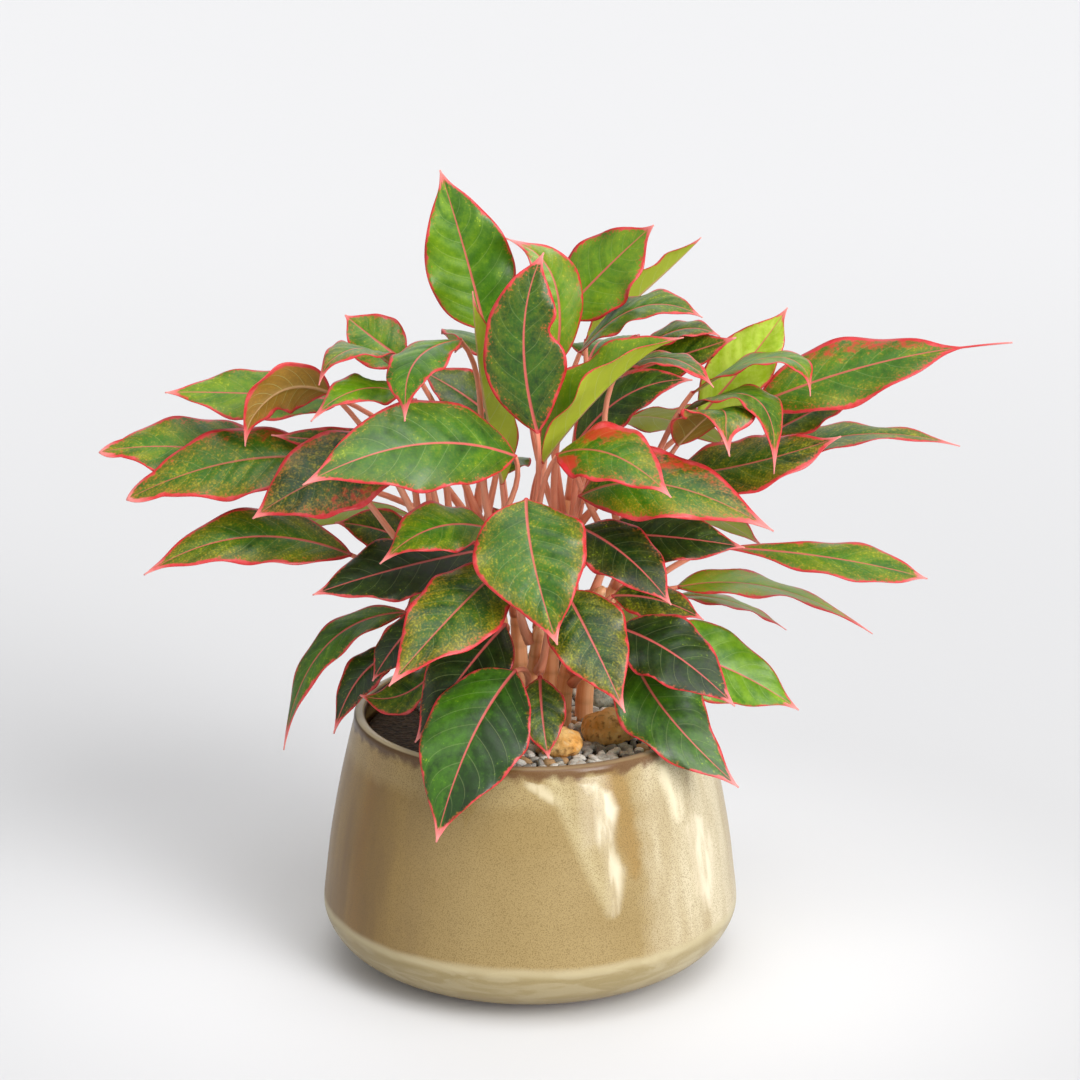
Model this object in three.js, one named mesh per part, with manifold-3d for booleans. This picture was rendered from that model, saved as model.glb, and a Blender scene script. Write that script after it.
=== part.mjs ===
// Potted Chinese evergreen: a round glazed stoneware planter, filled with soil, gravel and river
// stones, that holds a bushy aglaonema with red-edged leaves. Millimetres, +Z up, front towards -Y.

import * as THREE from 'three';
import { mergeVertices } from 'three/addons/utils/BufferGeometryUtils.js';
import ManifoldModule from 'manifold-3d';

const kernel = await ManifoldModule();
kernel.setup();

// The gap that neighbouring pieces keep where they touch on the real plant.
const SEAT_GAP = 0.3;

// Pot: the planter's radii, heights and wall.
const POT_HEIGHT = 208;
const POT_FOOT_RADIUS = 118;
const POT_FOOT_BEVEL = 4;
const POT_BELLY_RADIUS = 170;
const POT_BELLY_HEIGHT = 45;
const POT_SHOULDER_RADIUS = 155;
const POT_SHOULDER_HEIGHT = 150;
const POT_WAIST_RADIUS = 164;
const POT_WAIST_HEIGHT = 100;
const POT_RIM_RADIUS = 142;
const POT_WALL = 8;
const POT_FLOOR = 11;
const POT_SIDES = 34;

// Soil, gravel layer and the patch of bare soil at the left.
const SOIL_TOP = 190;
const SOIL_CROWN = 1;
const SOIL_SIDES = 20;
const GRAVEL_DEPTH = 3.7;
const GRAVEL_RADIUS = 127;
const GRAVEL_CHIPS = 26;
const GRAVEL_CHIP_SIZE = 6.5;
const GRAVEL_SEED = 7;
const BARE_SOIL_RADIUS = 62;
const BARE_SOIL_PLACE = [-112, -20];

// Canes: how deep they stand in the soil, and how thick they are at the foot and at the head.
const CANE_DEPTH = 42;
const CANE_SIDES = 8;
const CANE_FOOT_RADIUS = 7.5;
const CANE_HEAD_RADIUS = 5.2;
const CANE_STATIONS = [0, 0.32, 0.64, 0.96];
const CANE_HOLE_SIDES = 12;

// Leaf stalks: radii where they leave the cane and where the blade begins, how far they lean out
// from the cane when they leave it, and how far their two ends run straight.
const STALK_FOOT_RADIUS = 3.2;
const STALK_HEAD_RADIUS = 1.9;
const STALK_STEPS = 3;
const STALK_LEAN = THREE.MathUtils.degToRad(30);
const STALK_STRAIGHT = 0.33;
const STALK_BOW = 4 / 3;

// How deep the stalk of a grown leaf is rooted in its cane, and the steps in which a separate one is
// seated against it.
const STALK_ROOT = 5;
const SEATING_STEPS = 4;

// Leaf blades: thickness, midrib, and the wave and droop of the edges as shares of the half width.
const BLADE_THICKNESS = 0.8;
const NECK_HALF_WIDTH = 1.6;
const TIP_HALF_WIDTH = 0.6;
const RING_POINTS = 10;
const MIDRIB_DEPTH = 1.2;
const WAVE_HEIGHT = 0.07;
const WAVE_COUNT = 3.6;
const WAVE_SHIFT = 1.3;
const EDGE_DROOP = 0.14;
const BLADE_FOLD = 8;
const BLADE_BELLY = 0.41;
const BLADE_STATIONS = [0, 0.07, 0.21, 0.42, 0.64, 0.85, 1];
const GROWN_BLADE_STATIONS = [0, 0.12, 0.38, 0.7, 1];

// The line of sight along which the leaves were read: each point of a leaf is [across, up, depth],
// across and up as seen by an eye that looks down by SIGHT_PITCH at SIGHT_AIM from SIGHT_DISTANCE
// away, and depth as the real Y.
const SIGHT_PITCH = THREE.MathUtils.degToRad(16.5);
const SIGHT_DISTANCE = 2600;
const SIGHT_AIM = new THREE.Vector3(8, 0, 350);
const SIGHT_AHEAD = new THREE.Vector3(0, Math.cos(SIGHT_PITCH), -Math.sin(SIGHT_PITCH));
const SIGHT_UP = new THREE.Vector3(0, Math.sin(SIGHT_PITCH), Math.cos(SIGHT_PITCH));

const glazedStoneware = new THREE.MeshStandardMaterial({ color: 0xa79775, roughness: 0.25, metalness: 0 });
const pottingSoil = new THREE.MeshStandardMaterial({ color: 0x2e241c, roughness: 0.95, metalness: 0 });
const greyGravel = new THREE.MeshStandardMaterial({ color: 0x8f8c84, roughness: 0.85, metalness: 0 });
const ochreStone = new THREE.MeshStandardMaterial({ color: 0xa8763c, roughness: 0.8, metalness: 0 });
const greyStone = new THREE.MeshStandardMaterial({ color: 0x7d8684, roughness: 0.7, metalness: 0 });
const pinkCane = new THREE.MeshStandardMaterial({ color: 0xc98f78, roughness: 0.6, metalness: 0 });
const greenLeaf = new THREE.MeshStandardMaterial({ color: 0x3f6b33, roughness: 0.4, metalness: 0 });

const plant = new THREE.Group();

function vector(x, y, z) {
  return new THREE.Vector3(x, y, z);
}

function addPiece(name, geometry, material) {
  const mesh = new THREE.Mesh(geometry, material);
  mesh.name = name;
  plant.add(mesh);
}

function mergedCopy(geometry) {
  const bare = geometry.clone();
  bare.deleteAttribute('normal');
  bare.deleteAttribute('uv');
  return mergeVertices(bare, 1e-4);
}

function toSolid(geometry) {
  const merged = mergedCopy(geometry);
  const mesh = new kernel.Mesh({
    numProp: 3,
    vertProperties: new Float32Array(merged.attributes.position.array),
    triVerts: new Uint32Array(merged.index.array),
  });
  return new kernel.Manifold(mesh);
}

function toGeometry(solid) {
  const mesh = solid.getMesh();
  const geometry = new THREE.BufferGeometry();
  geometry.setAttribute('position', new THREE.BufferAttribute(new Float32Array(mesh.vertProperties), 3));
  geometry.setIndex(new THREE.BufferAttribute(new Uint32Array(mesh.triVerts), 1));
  geometry.computeVertexNormals();
  return geometry;
}

function seededRandom(seed) {
  let state = seed;
  return () => {
    state = (state * 16807) % 2147483647;
    return state / 2147483647;
  };
}

function lathe(profile, sides) {
  const points = profile.map(([radius, height]) => new THREE.Vector2(radius, height));
  const geometry = new THREE.LatheGeometry(points, sides);
  geometry.rotateX(Math.PI / 2);
  return geometry;
}

// Pot: thrown planter with a low round belly, walls that lean in to a rolled lip, and a flat foot.
function addPot() {
  const lip = POT_RIM_RADIUS;
  const profile = [
    [0, 0],
    [POT_FOOT_RADIUS, 0],
    [POT_FOOT_RADIUS + POT_FOOT_BEVEL, POT_FOOT_BEVEL / 2],
    [150, 15],
    [POT_BELLY_RADIUS - 4, 33],
    [POT_BELLY_RADIUS, POT_BELLY_HEIGHT],
    [POT_BELLY_RADIUS - 0.8, 60],
    [POT_WAIST_RADIUS, POT_WAIST_HEIGHT],
    [POT_SHOULDER_RADIUS, POT_SHOULDER_HEIGHT],
    [lip + 1.4, POT_HEIGHT - 8],
    [lip + 0.4, POT_HEIGHT - 3],
    [lip - 2.4, POT_HEIGHT],
    [lip - POT_WALL + 1.6, POT_HEIGHT],
    [lip - POT_WALL - 0.4, POT_HEIGHT - 3],
    [POT_SHOULDER_RADIUS - POT_WALL, POT_SHOULDER_HEIGHT],
    [POT_WAIST_RADIUS - POT_WALL, POT_WAIST_HEIGHT],
    [POT_BELLY_RADIUS - POT_WALL - 1, 58],
    [POT_BELLY_RADIUS - POT_WALL - 6, 36],
    [142, POT_FLOOR + 10],
    [POT_FOOT_RADIUS - 6, POT_FLOOR],
    [0, POT_FLOOR],
  ];
  addPiece('pot', toGeometry(toSolid(lathe(profile, POT_SIDES))), glazedStoneware);
}

// Canes: upright stems that stand in the soil, each leaning out to the leaves that it carries. A
// leafy cane also has leaves that are part of its own piece.

const CANES = [
  { name: 'middle', foot: [-8, 12], head: [-14, -2, 352] },
  { name: 'front', foot: [2, -20], head: [8, -44, 292] },
  { name: 'front_left', foot: [-30, -12], head: [-62, -34, 318] },
  { name: 'front_right', foot: [26, 2], head: [58, -26, 318] },
  { name: 'left', foot: [-36, 20], head: [-92, 22, 352], leafy: true },
  { name: 'right', foot: [44, 22], head: [98, 26, 352] },
  { name: 'back_left', foot: [-20, 42], head: [-44, 74, 352], leafy: true },
  { name: 'back_right', foot: [16, 40], head: [34, 72, 372], leafy: true },
];

function caneAxis(cane) {
  const [x, y] = cane.foot;
  const foot = vector(x, y, SOIL_TOP + GRAVEL_DEPTH + 2);
  const head = vector(...cane.head);
  const bend = vector(x, y, (foot.z + head.z) / 2);
  return new THREE.QuadraticBezierCurve3(foot, bend, head);
}

function caneRadius(share) {
  return THREE.MathUtils.lerp(CANE_FOOT_RADIUS, CANE_HEAD_RADIUS, share);
}

function caneRing(centre, ahead, radius) {
  const side = vector(1, 0, 0);
  const first = side.addScaledVector(ahead, -side.dot(ahead)).normalize();
  const second = ahead.clone().cross(first);
  const ring = [];
  for (let i = 0; i < CANE_SIDES; i += 1) {
    const angle = (i / CANE_SIDES) * Math.PI * 2;
    const point = centre.clone().addScaledVector(first, radius * Math.cos(angle));
    ring.push(point.addScaledVector(second, radius * Math.sin(angle)));
  }
  return ring;
}

function caneSkin(cane) {
  const axis = caneAxis(cane);
  const root = vector(cane.foot[0], cane.foot[1], SOIL_TOP - CANE_DEPTH);
  const rings = [caneRing(root, vector(0, 0, 1), CANE_FOOT_RADIUS)];
  for (const share of CANE_STATIONS) {
    rings.push(caneRing(axis.getPoint(share), axis.getTangent(share), caneRadius(share)));
  }
  rings.push(caneRing(axis.getPoint(1), axis.getTangent(1), CANE_HEAD_RADIUS / 2));
  return skinOver(rings);
}

// A closed skin over rings of equal length. Each pair of faces that lie over one another, at a place
// and at its mirror place across the ring, is cut along the same diagonal.
function skinOver(rings) {
  const count = rings[0].length;
  const positions = rings.flat().flatMap((point) => [point.x, point.y, point.z]);
  const index = [];
  for (let i = 0; i + 1 < rings.length; i += 1) {
    for (let j = 0; j < count; j += 1) {
      const next = (j + 1) % count;
      const a = i * count + j;
      const b = i * count + next;
      const c = (i + 1) * count + next;
      const d = (i + 1) * count + j;
      if (j < count / 2) {
        index.push(a, b, c, a, c, d);
      } else {
        index.push(a, b, d, b, c, d);
      }
    }
  }
  const last = (rings.length - 1) * count;
  for (let j = 1; j + 1 < count; j += 1) {
    index.push(0, j + 1, j);
    index.push(last, last + j, last + j + 1);
  }
  const geometry = new THREE.BufferGeometry();
  geometry.setAttribute('position', new THREE.Float32BufferAttribute(positions, 3));
  geometry.setIndex(index);
  return geometry;
}

// Leaves. Each row gives how far up its cane the stalk starts, as a share, the base, middle and tip
// of the blade's midrib, the blade's full width, and where its upper side looks, as [right, up,
// towards the eye]. fold lifts both halves of the blade, in degrees. belly is the share of the length
// at which it is widest, and tail the share that a thin tail takes up at the tip. turn moves the
// stalk's start round the cane, in degrees, and bow pushes its middle aside, as [across, up, depth].
// A grown leaf is part of its cane's piece.

const LEAVES = [
  // Top of the plant.
  { name: 'leaf_top_1', cane: 'middle', at: 0.92,
    base: [-36, 168, 15], mid: [-52, 230, 10], tip: [-72, 296, 0], width: 72,
    face: [0.1, 0.1, 1], fold: 10 },
  { name: 'leaf_top_2', cane: 'middle', at: 0.75,
    base: [6, 86, -70], mid: [-5, 165, -82], tip: [11, 230, -70], width: 62, face: [0, 0, 1], fold: 5 },
  { name: 'leaf_top_3', cane: 'middle', at: 0.85,
    base: [20, 140, 2], mid: [20, 205, 2], tip: [-10, 238, 0], width: 42, face: [0.2, 0, 1], fold: 8 },
  { name: 'leaf_top_4', cane: 'back_right', at: 0.84,
    base: [24, 178, 34], mid: [62, 218, 32], tip: [99, 252, 24], width: 66,
    face: [-0.3, 0.3, 0.9], fold: 8 },
  { name: 'leaf_top_5', cane: 'back_right', at: 0.92,
    base: [45, 160, 66], mid: [98, 205, 68], tip: [137, 242, 64], width: 42,
    face: [-0.5, 0.75, -0.4], fold: 40, turn: 60, bow: [12, 0, 10] },
  { name: 'leaf_top_6', cane: 'back_right', at: 0.7,
    base: [40, 150, 18], mid: [88, 186, 2], tip: [138, 178, -20], width: 50,
    face: [0, 0.8, 0.6], fold: 10, turn: -20 },
  { name: 'leaf_top_7', cane: 'middle', at: 0.6,
    base: [-22, 45, -26], mid: [-38, 120, -44], tip: [-46, 199, -56], width: 52,
    face: [0.7, 0, -0.7], fold: 60 },
  // Centre and right.
  { name: 'leaf_centre_1', cane: 'middle', at: 0.88,
    base: [10, 62, -50], mid: [64, 124, -58], tip: [117, 163, -58], width: 74,
    face: [-0.6, 0.68, 0.42], fold: 55, turn: 15 },
  { name: 'leaf_centre_2', cane: 'front', at: 0.92,
    base: [22, 68, -82], mid: [66, 68, -112], tip: [113, 34, -140], width: 62,
    face: [0, 0.6, 0.8], fold: 8 },
  { name: 'leaf_right_1', cane: 'back_right', at: 0.8,
    base: [135, 98, 34], mid: [176, 145, 38], tip: [204, 183, 44], width: 54,
    face: [-0.3, 0.2, 0.9], fold: 15 },
  { name: 'leaf_right_2', cane: 'right', at: 0.92,
    base: [130, 118, 4], mid: [196, 146, -18], tip: [226, 121, -40], width: 50,
    face: [0, 0.95, 0.35], fold: 10 },
  { name: 'leaf_right_3', cane: 'right', at: 0.8,
    base: [180, 108, 14], mid: [281, 142, 8], tip: [386, 158, 0], width: 64,
    face: [0, 0.55, 0.8], fold: 8, tail: 0.18 },
  { name: 'leaf_right_4', cane: 'back_right', at: 0.65,
    base: [190, 62, 60], mid: [262, 84, 60], tip: [344, 75, 56], width: 45,
    face: [0, 0.8, 0.45], fold: 14, belly: 0.36, grown: true },
  { name: 'leaf_right_5', cane: 'right', at: 0.7,
    base: [110, 50, -18], mid: [180, 62, -24], tip: [249, 83, -26], width: 64,
    face: [0, 0.7, 0.7], fold: 6 },
  { name: 'leaf_right_6', cane: 'right', at: 0.85,
    base: [120, 100, -20], mid: [178, 114, -56], tip: [196, 60, -80], width: 50,
    face: [0.3, 0.8, 0.5], fold: 10 },
  { name: 'leaf_right_7', cane: 'front_right', at: 0.86,
    base: [118, 76, -34], mid: [152, 104, -66], tip: [153, 77, -92], width: 74,
    face: [0, 0.95, 0.3], fold: 8, turn: 20 },
  { name: 'leaf_right_8', cane: 'right', at: 0.8,
    base: [70, 135, -28], mid: [112, 145, -50], tip: [147, 122, -72], width: 38,
    face: [0, 0.9, 0.35], fold: 8, turn: -30, bow: [0, 0, -10] },
  { name: 'leaf_right_9', cane: 'right', at: 0.75,
    base: [36, 75, 8], mid: [78, 116, 12], tip: [130, 128, 8], width: 45,
    face: [-0.3, 0.5, 0.8], fold: 10 },
  { name: 'leaf_right_10', cane: 'right', at: 0.6,
    base: [150, -6, 10], mid: [238, -14, 5], tip: [318, -31, 0], width: 46,
    face: [0, 0.7, 0.65], fold: 8, belly: 0.6 },
  { name: 'leaf_right_11', cane: 'back_right', at: 0.45,
    base: [118, -38, 44], mid: [196, -39, 50], tip: [274, -75, 60], width: 48,
    face: [0, 0.9, 0.4], fold: 10, belly: 0.3, grown: true },
  { name: 'leaf_right_12', cane: 'back_right', at: 0.3,
    base: [115, -45, 74], mid: [162, -50, 82], tip: [205, -72, 90], width: 34,
    face: [0, 0.9, 0.3], fold: 8, grown: true },
  // Front.
  { name: 'leaf_front_1', cane: 'front_right', at: 0.7,
    base: [40, 35, -60], mid: [108, 44, -82], tip: [195, 7, -100], width: 66,
    face: [0, 0.5, 0.85], fold: 8, bow: [8, 0, 4] },
  { name: 'leaf_front_2', cane: 'front_left', at: 0.92,
    base: [-12, 67, -64], mid: [-92, 76, -105], tip: [-182, 44, -138], width: 78,
    face: [0, 0.35, 0.93], fold: 8 },
  { name: 'leaf_front_3', cane: 'front', at: 0.85,
    base: [-3, 32, -98], mid: [3, -18, -128], tip: [22, -84, -150], width: 88,
    face: [0, 0.25, 0.97], fold: 8 },
  { name: 'leaf_front_4', cane: 'front', at: 0.6,
    base: [28, -40, -90], mid: [50, -82, -122], tip: [74, -133, -150], width: 62,
    face: [0.1, 0.3, 0.95], fold: 8 },
  { name: 'leaf_front_5', cane: 'front', at: 0.8,
    base: [40, 10, -60], mid: [78, -14, -90], tip: [113, -52, -118], width: 55,
    face: [0.2, 0.4, 0.85], fold: 8 },
  { name: 'leaf_front_6', cane: 'front_right', at: 0.55,
    base: [60, 5, -30], mid: [115, 2, -38], tip: [172, -6, -44], width: 50, face: [0, 0.5, 0.8], fold: 8 },
  { name: 'leaf_front_7', cane: 'front_left', at: 0.6,
    base: [-22, -22, -76], mid: [-62, -60, -122], tip: [-113, -117, -168], width: 70,
    face: [-0.2, 0.35, 0.9], fold: 8 },
  { name: 'leaf_front_8', cane: 'front_left', at: 0.85,
    base: [-30, 8, -60], mid: [-75, 10, -86], tip: [-116, -16, -110], width: 52,
    face: [0, 0.6, 0.8], fold: 8 },
  { name: 'leaf_front_9', cane: 'front_left', at: 0.7,
    base: [-38, -8, -20], mid: [-110, -24, -42], tip: [-174, -44, -60], width: 62,
    face: [0, 0.6, 0.75], fold: 8 },
  // Low leaves that hang over the rim.
  { name: 'leaf_low_1', cane: 'front', at: 0.35,
    base: [-12, -105, -95], mid: [-48, -162, -138], tip: [-75, -242, -172], width: 82,
    face: [-0.1, 0.4, 0.9], fold: 8 },
  { name: 'leaf_low_2', cane: 'front', at: 0.25,
    base: [8, -110, -84], mid: [10, -142, -108], tip: [15, -175, -126], width: 38,
    face: [0, 0.4, 0.9], fold: 8, turn: 20 },
  { name: 'leaf_low_3', cane: 'front_left', at: 0.4,
    base: [-20, -68, -60], mid: [-54, -108, -92], tip: [-92, -162, -120], width: 62,
    face: [-0.1, 0.4, 0.9], fold: 8 },
  { name: 'leaf_low_4', cane: 'front_right', at: 0.4,
    base: [70, -70, -70], mid: [116, -92, -100], tip: [164, -133, -128], width: 62,
    face: [0.1, 0.5, 0.85], fold: 8 },
  { name: 'leaf_low_5', cane: 'front_right', at: 0.5,
    base: [66, -45, -38], mid: [102, -48, -44], tip: [139, -64, -54], width: 40,
    face: [0, 0.6, 0.7], fold: 8 },
  { name: 'leaf_low_6', cane: 'right', at: 0.3,
    base: [95, -85, 20], mid: [156, -102, 32], tip: [215, -136, 40], width: 66,
    face: [0.1, 0.4, 0.9], fold: 8 },
  { name: 'leaf_low_7', cane: 'front_right', at: 0.3,
    base: [85, -98, -62], mid: [112, -142, -90], tip: [167, -198, -112], width: 72,
    face: [0.2, 0.4, 0.9], fold: 8 },
  // Left.
  { name: 'leaf_left_1', cane: 'left', at: 0.85,
    base: [-100, 70, -20], mid: [-165, 50, -42], tip: [-222, 17, -60], width: 76,
    face: [-0.1, 0.45, 0.88], fold: 8, turn: 25 },
  { name: 'leaf_left_2', cane: 'left', at: 0.6,
    base: [-143, -12, 0], mid: [-228, 2, -15], tip: [-309, -28, -30], width: 58,
    face: [0, 0.6, 0.8], fold: 8 },
  { name: 'leaf_left_3', cane: 'back_left', at: 0.8,
    base: [-190, 60, 22], mid: [-275, 74, 26], tip: [-345, 70, 30], width: 70,
    face: [0, 0.65, 0.75], fold: 8, tail: 0.1 },
  { name: 'leaf_left_4', cane: 'left', at: 0.75,
    base: [-170, 65, 0], mid: [-245, 61, -5], tip: [-323, 32, -10], width: 66,
    face: [0, 0.5, 0.85], fold: 8 },
  { name: 'leaf_left_5', cane: 'back_left', at: 0.92,
    base: [-150, 112, 12], mid: [-225, 117, 16], tip: [-292, 118, 20], width: 56,
    face: [0, 0.65, 0.75], fold: 8 },
  { name: 'leaf_left_6', cane: 'left', at: 0.92,
    base: [-160, 118, 0], mid: [-202, 118, -18], tip: [-232, 79, -30], width: 46,
    face: [-0.1, 0.6, -0.75], fold: 10 },
  { name: 'leaf_left_7', cane: 'left', at: 0.92,
    base: [-104, 135, -12], mid: [-138, 153, -40], tip: [-172, 129, -68], width: 46,
    face: [0, 0.95, 0.3], fold: 8, turn: 45 },
  { name: 'leaf_left_8', cane: 'back_left', at: 0.96,
    base: [-100, 143, 26], mid: [-126, 162, 32], tip: [-148, 180, 40], width: 46,
    face: [0, 0.2, 0.95], fold: 8, grown: true },
  { name: 'leaf_left_9', cane: 'middle', at: 0.92,
    base: [-56, 160, -34], mid: [-92, 142, -84], tip: [-98, 100, -118], width: 50,
    face: [-0.2, 0.75, 0.6], fold: 8 },
  { name: 'leaf_left_10', cane: 'left', at: 0.78,
    base: [-92, 112, -34], mid: [-132, 121, -62], tip: [-172, 100, -92], width: 48,
    face: [0, 0.8, 0.55], fold: 8, turn: 60 },
  { name: 'leaf_left_11', cane: 'left', at: 0.5,
    base: [-97, -58, 0], mid: [-164, -86, -10], tip: [-197, -168, -20], width: 40,
    face: [-0.5, 0.5, 0.6], fold: 8 },
  { name: 'leaf_left_12', cane: 'left', at: 0.3,
    base: [-105, -90, -10], mid: [-136, -110, -20], tip: [-157, -155, -30], width: 34,
    face: [-0.2, 0.5, 0.8], fold: 8, grown: true },
  { name: 'leaf_left_13', cane: 'left', at: 0.35,
    base: [-85, -60, -24], mid: [-108, -85, -34], tip: [-126, -113, -44], width: 34,
    face: [-0.2, 0.5, 0.8], fold: 8, grown: true },
];

// Leaves that show only in part behind the others.
const HALF_HIDDEN_LEAVES = [
  { cane: 'left', at: 0.97, base: [-112, 80, 14], mid: [-160, 80, 2], tip: [-207, 84, -4], width: 22,
    face: [0, 0.1, 1] },
  { cane: 'left', at: 0.2, base: [-70, -98, -50], mid: [-102, -124, -46], tip: [-136, -124, -36], width: 42,
    face: [0, 0.7, 0.7] },
  { cane: 'back_left', at: 0.5, base: [-88, -6, 34], mid: [-120, 8, 34], tip: [-156, 14, 36], width: 40,
    face: [0, 0.4, 0.9] },
  { cane: 'back_left', at: 0.85, base: [-30, 98, 38], mid: [-56, 118, 36], tip: [-88, 136, 34], width: 44,
    face: [0, 0.4, 0.9] },
  { cane: 'back_right', at: 0.6, base: [190, 84, 54], mid: [232, 106, 52], tip: [268, 125, 50], width: 38,
    face: [0, 0.7, 0.7] },
  { cane: 'back_right', at: 0.7, base: [85, 148, 44], mid: [120, 168, 38], tip: [152, 163, 28], width: 36,
    face: [0, 0.8, 0.5], turn: -20 },
  { cane: 'back_right', at: 0.55, base: [66, 130, 42], mid: [116, 146, 32], tip: [165, 162, 20], width: 40,
    face: [0, 0.4, 0.9] },
];

// Leaves of the far side, whose upper sides look up and a little away from the eye.
const BACK_FACE = [0, 0.96, -0.28];
const BACK_LEAVES = [
  { cane: 'back_right', at: 0.8, base: [0, 105, 92], mid: [10, 118, 135], tip: [25, 85, 190],
    width: 70 },
  { cane: 'back_left', at: 0.9, base: [-62, 80, 92], mid: [-105, 88, 122], tip: [-160, 60, 165],
    width: 66 },
  { cane: 'back_right', at: 0.7, base: [60, 90, 90], mid: [105, 98, 122], tip: [165, 70, 160],
    width: 66 },
  { cane: 'back_left', at: 1, base: [-30, 145, 70], mid: [-45, 165, 100], tip: [-60, 150, 150],
    width: 60 },
  { cane: 'back_right', at: 0.95, base: [48, 145, 88], mid: [62, 160, 118], tip: [80, 138, 160],
    width: 60 },
  { cane: 'back_left', at: 0.7, base: [-90, 18, 84], mid: [-145, 24, 112], tip: [-200, 0, 140],
    width: 62 },
  { cane: 'back_right', at: 0.5, base: [86, 20, 92], mid: [136, 22, 122], tip: [186, -5, 150],
    width: 62 },
  { cane: 'back_right', at: 0.35, base: [4, 12, 100], mid: [2, 18, 150], tip: [-5, -20, 200],
    width: 72 },
  { cane: 'back_left', at: 0.4, base: [-46, -45, 90], mid: [-72, -50, 128], tip: [-100, -88, 165],
    width: 60 },
  { cane: 'back_right', at: 0.25, base: [50, -45, 92], mid: [74, -50, 130], tip: [100, -90, 170],
    width: 60 },
  { cane: 'back_left', at: 0.6, base: [-22, 52, 90], mid: [-34, 68, 132], tip: [-55, 45, 185],
    width: 66 },
].map((leaf) => ({ ...leaf, face: BACK_FACE }));

const GROWN_LEAVES = [...LEAVES.filter((leaf) => leaf.grown), ...HALF_HIDDEN_LEAVES, ...BACK_LEAVES];

function sighted([across, up, depth]) {
  const eye = SIGHT_AIM.clone().addScaledVector(SIGHT_AHEAD, -SIGHT_DISTANCE);
  const ray = SIGHT_AHEAD.clone().multiplyScalar(SIGHT_DISTANCE);
  ray.x += across - SIGHT_AIM.x;
  ray.addScaledVector(SIGHT_UP, up);
  return eye.addScaledVector(ray, (depth - eye.y) / ray.y);
}

function sightedDirection([right, up, towards]) {
  const direction = vector(right, 0, 0);
  direction.addScaledVector(SIGHT_UP, up);
  direction.addScaledVector(SIGHT_AHEAD, -towards);
  return direction.normalize();
}

// The share of its full width that a blade has at a share of its length. It is widest at its belly
// and runs out in a point, or in a thin tail that takes up the last part of its length.
function bladeOutline(leaf, share) {
  const reach = Math.min(1, share / (1 - (leaf.tail ?? 0)));
  const place = reach ** (Math.log(BLADE_BELLY) / Math.log(leaf.belly ?? BLADE_BELLY));
  return place ** 0.78 * (1 - place) ** 1.12 * (1 - 0.3 * place ** 6) / 0.274;
}

function midribOf(leaf) {
  const base = sighted(leaf.base);
  const tip = sighted(leaf.tip);
  const pull = sighted(leaf.mid).multiplyScalar(2).addScaledVector(base, -0.5).addScaledVector(tip, -0.5);
  return new THREE.QuadraticBezierCurve3(base, pull, tip);
}

function caneOf(leaf) {
  return CANES.find((each) => each.name === leaf.cane);
}

// The stalk leaves the cane's side steeply and runs on into the blade's midrib. stand is how far its
// foot's middle is from the cane's side.
function stalkOf(leaf, midrib, stand) {
  const axis = caneAxis(caneOf(leaf));
  const centre = axis.getPoint(leaf.at);
  const upwards = axis.getTangent(leaf.at);
  const base = midrib.getPoint(0);
  const outwards = base.clone().sub(centre);
  outwards.addScaledVector(upwards, -outwards.dot(upwards)).normalize();
  outwards.applyAxisAngle(upwards, THREE.MathUtils.degToRad(leaf.turn ?? 0));
  const leave = upwards.clone().multiplyScalar(Math.cos(STALK_LEAN));
  leave.addScaledVector(outwards, Math.sin(STALK_LEAN));
  const start = centre.clone().addScaledVector(outwards, caneRadius(leaf.at) + stand);
  const straight = base.clone().sub(start).normalize();
  const arrive = midrib.getTangent(0).add(straight).normalize();
  const [across, up, depth] = leaf.bow ?? [0, 0, 0];
  const bow = vector(across, depth, up).multiplyScalar(STALK_BOW);
  const run = base.distanceTo(start) * STALK_STRAIGHT;
  const first = start.clone().addScaledVector(leave, run).add(bow);
  const second = base.clone().addScaledVector(arrive, -run).add(bow);
  return new THREE.CubicBezierCurve3(start, first, second, base);
}

function isGrown(leaf) {
  return GROWN_LEAVES.includes(leaf);
}

function leafSkin(leaf, stand) {
  const midrib = midribOf(leaf);
  const stalk = stalkOf(leaf, midrib, stand);
  const chord = midrib.getPoint(1).sub(midrib.getPoint(0));
  const sideways = chord.cross(sightedDirection(leaf.face)).normalize();
  const stations = isGrown(leaf) ? GROWN_BLADE_STATIONS : BLADE_STATIONS;
  const rings = [];
  for (let i = 0; i <= STALK_STEPS; i += 1) {
    const share = i / STALK_STEPS;
    const radius = THREE.MathUtils.lerp(STALK_FOOT_RADIUS, STALK_HEAD_RADIUS, share);
    rings.push(stalkRing(stalk.getPoint(share), stalk.getTangent(share), sideways, radius));
  }
  for (const share of stations.slice(1)) {
    rings.push(bladeRing(leaf, midrib, sideways, share));
  }
  return skinOver(rings);
}

function frameAt(tangent, sideways) {
  const side = sideways.clone().addScaledVector(tangent, -sideways.dot(tangent)).normalize();
  const up = side.clone().cross(tangent);
  return { side, up };
}

// Ten points round the stalk, in the order of the blade's: five over the top, five back underneath.
function stalkRing(centre, tangent, sideways, radius) {
  const { side, up } = frameAt(tangent, sideways);
  const ring = [];
  for (let i = 0; i < RING_POINTS; i += 1) {
    const angle = Math.PI * (1 - (2 * i + 1) / RING_POINTS);
    const point = centre.clone().addScaledVector(side, radius * Math.cos(angle));
    ring.push(point.addScaledVector(up, radius * Math.sin(angle)));
  }
  return ring;
}

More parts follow.
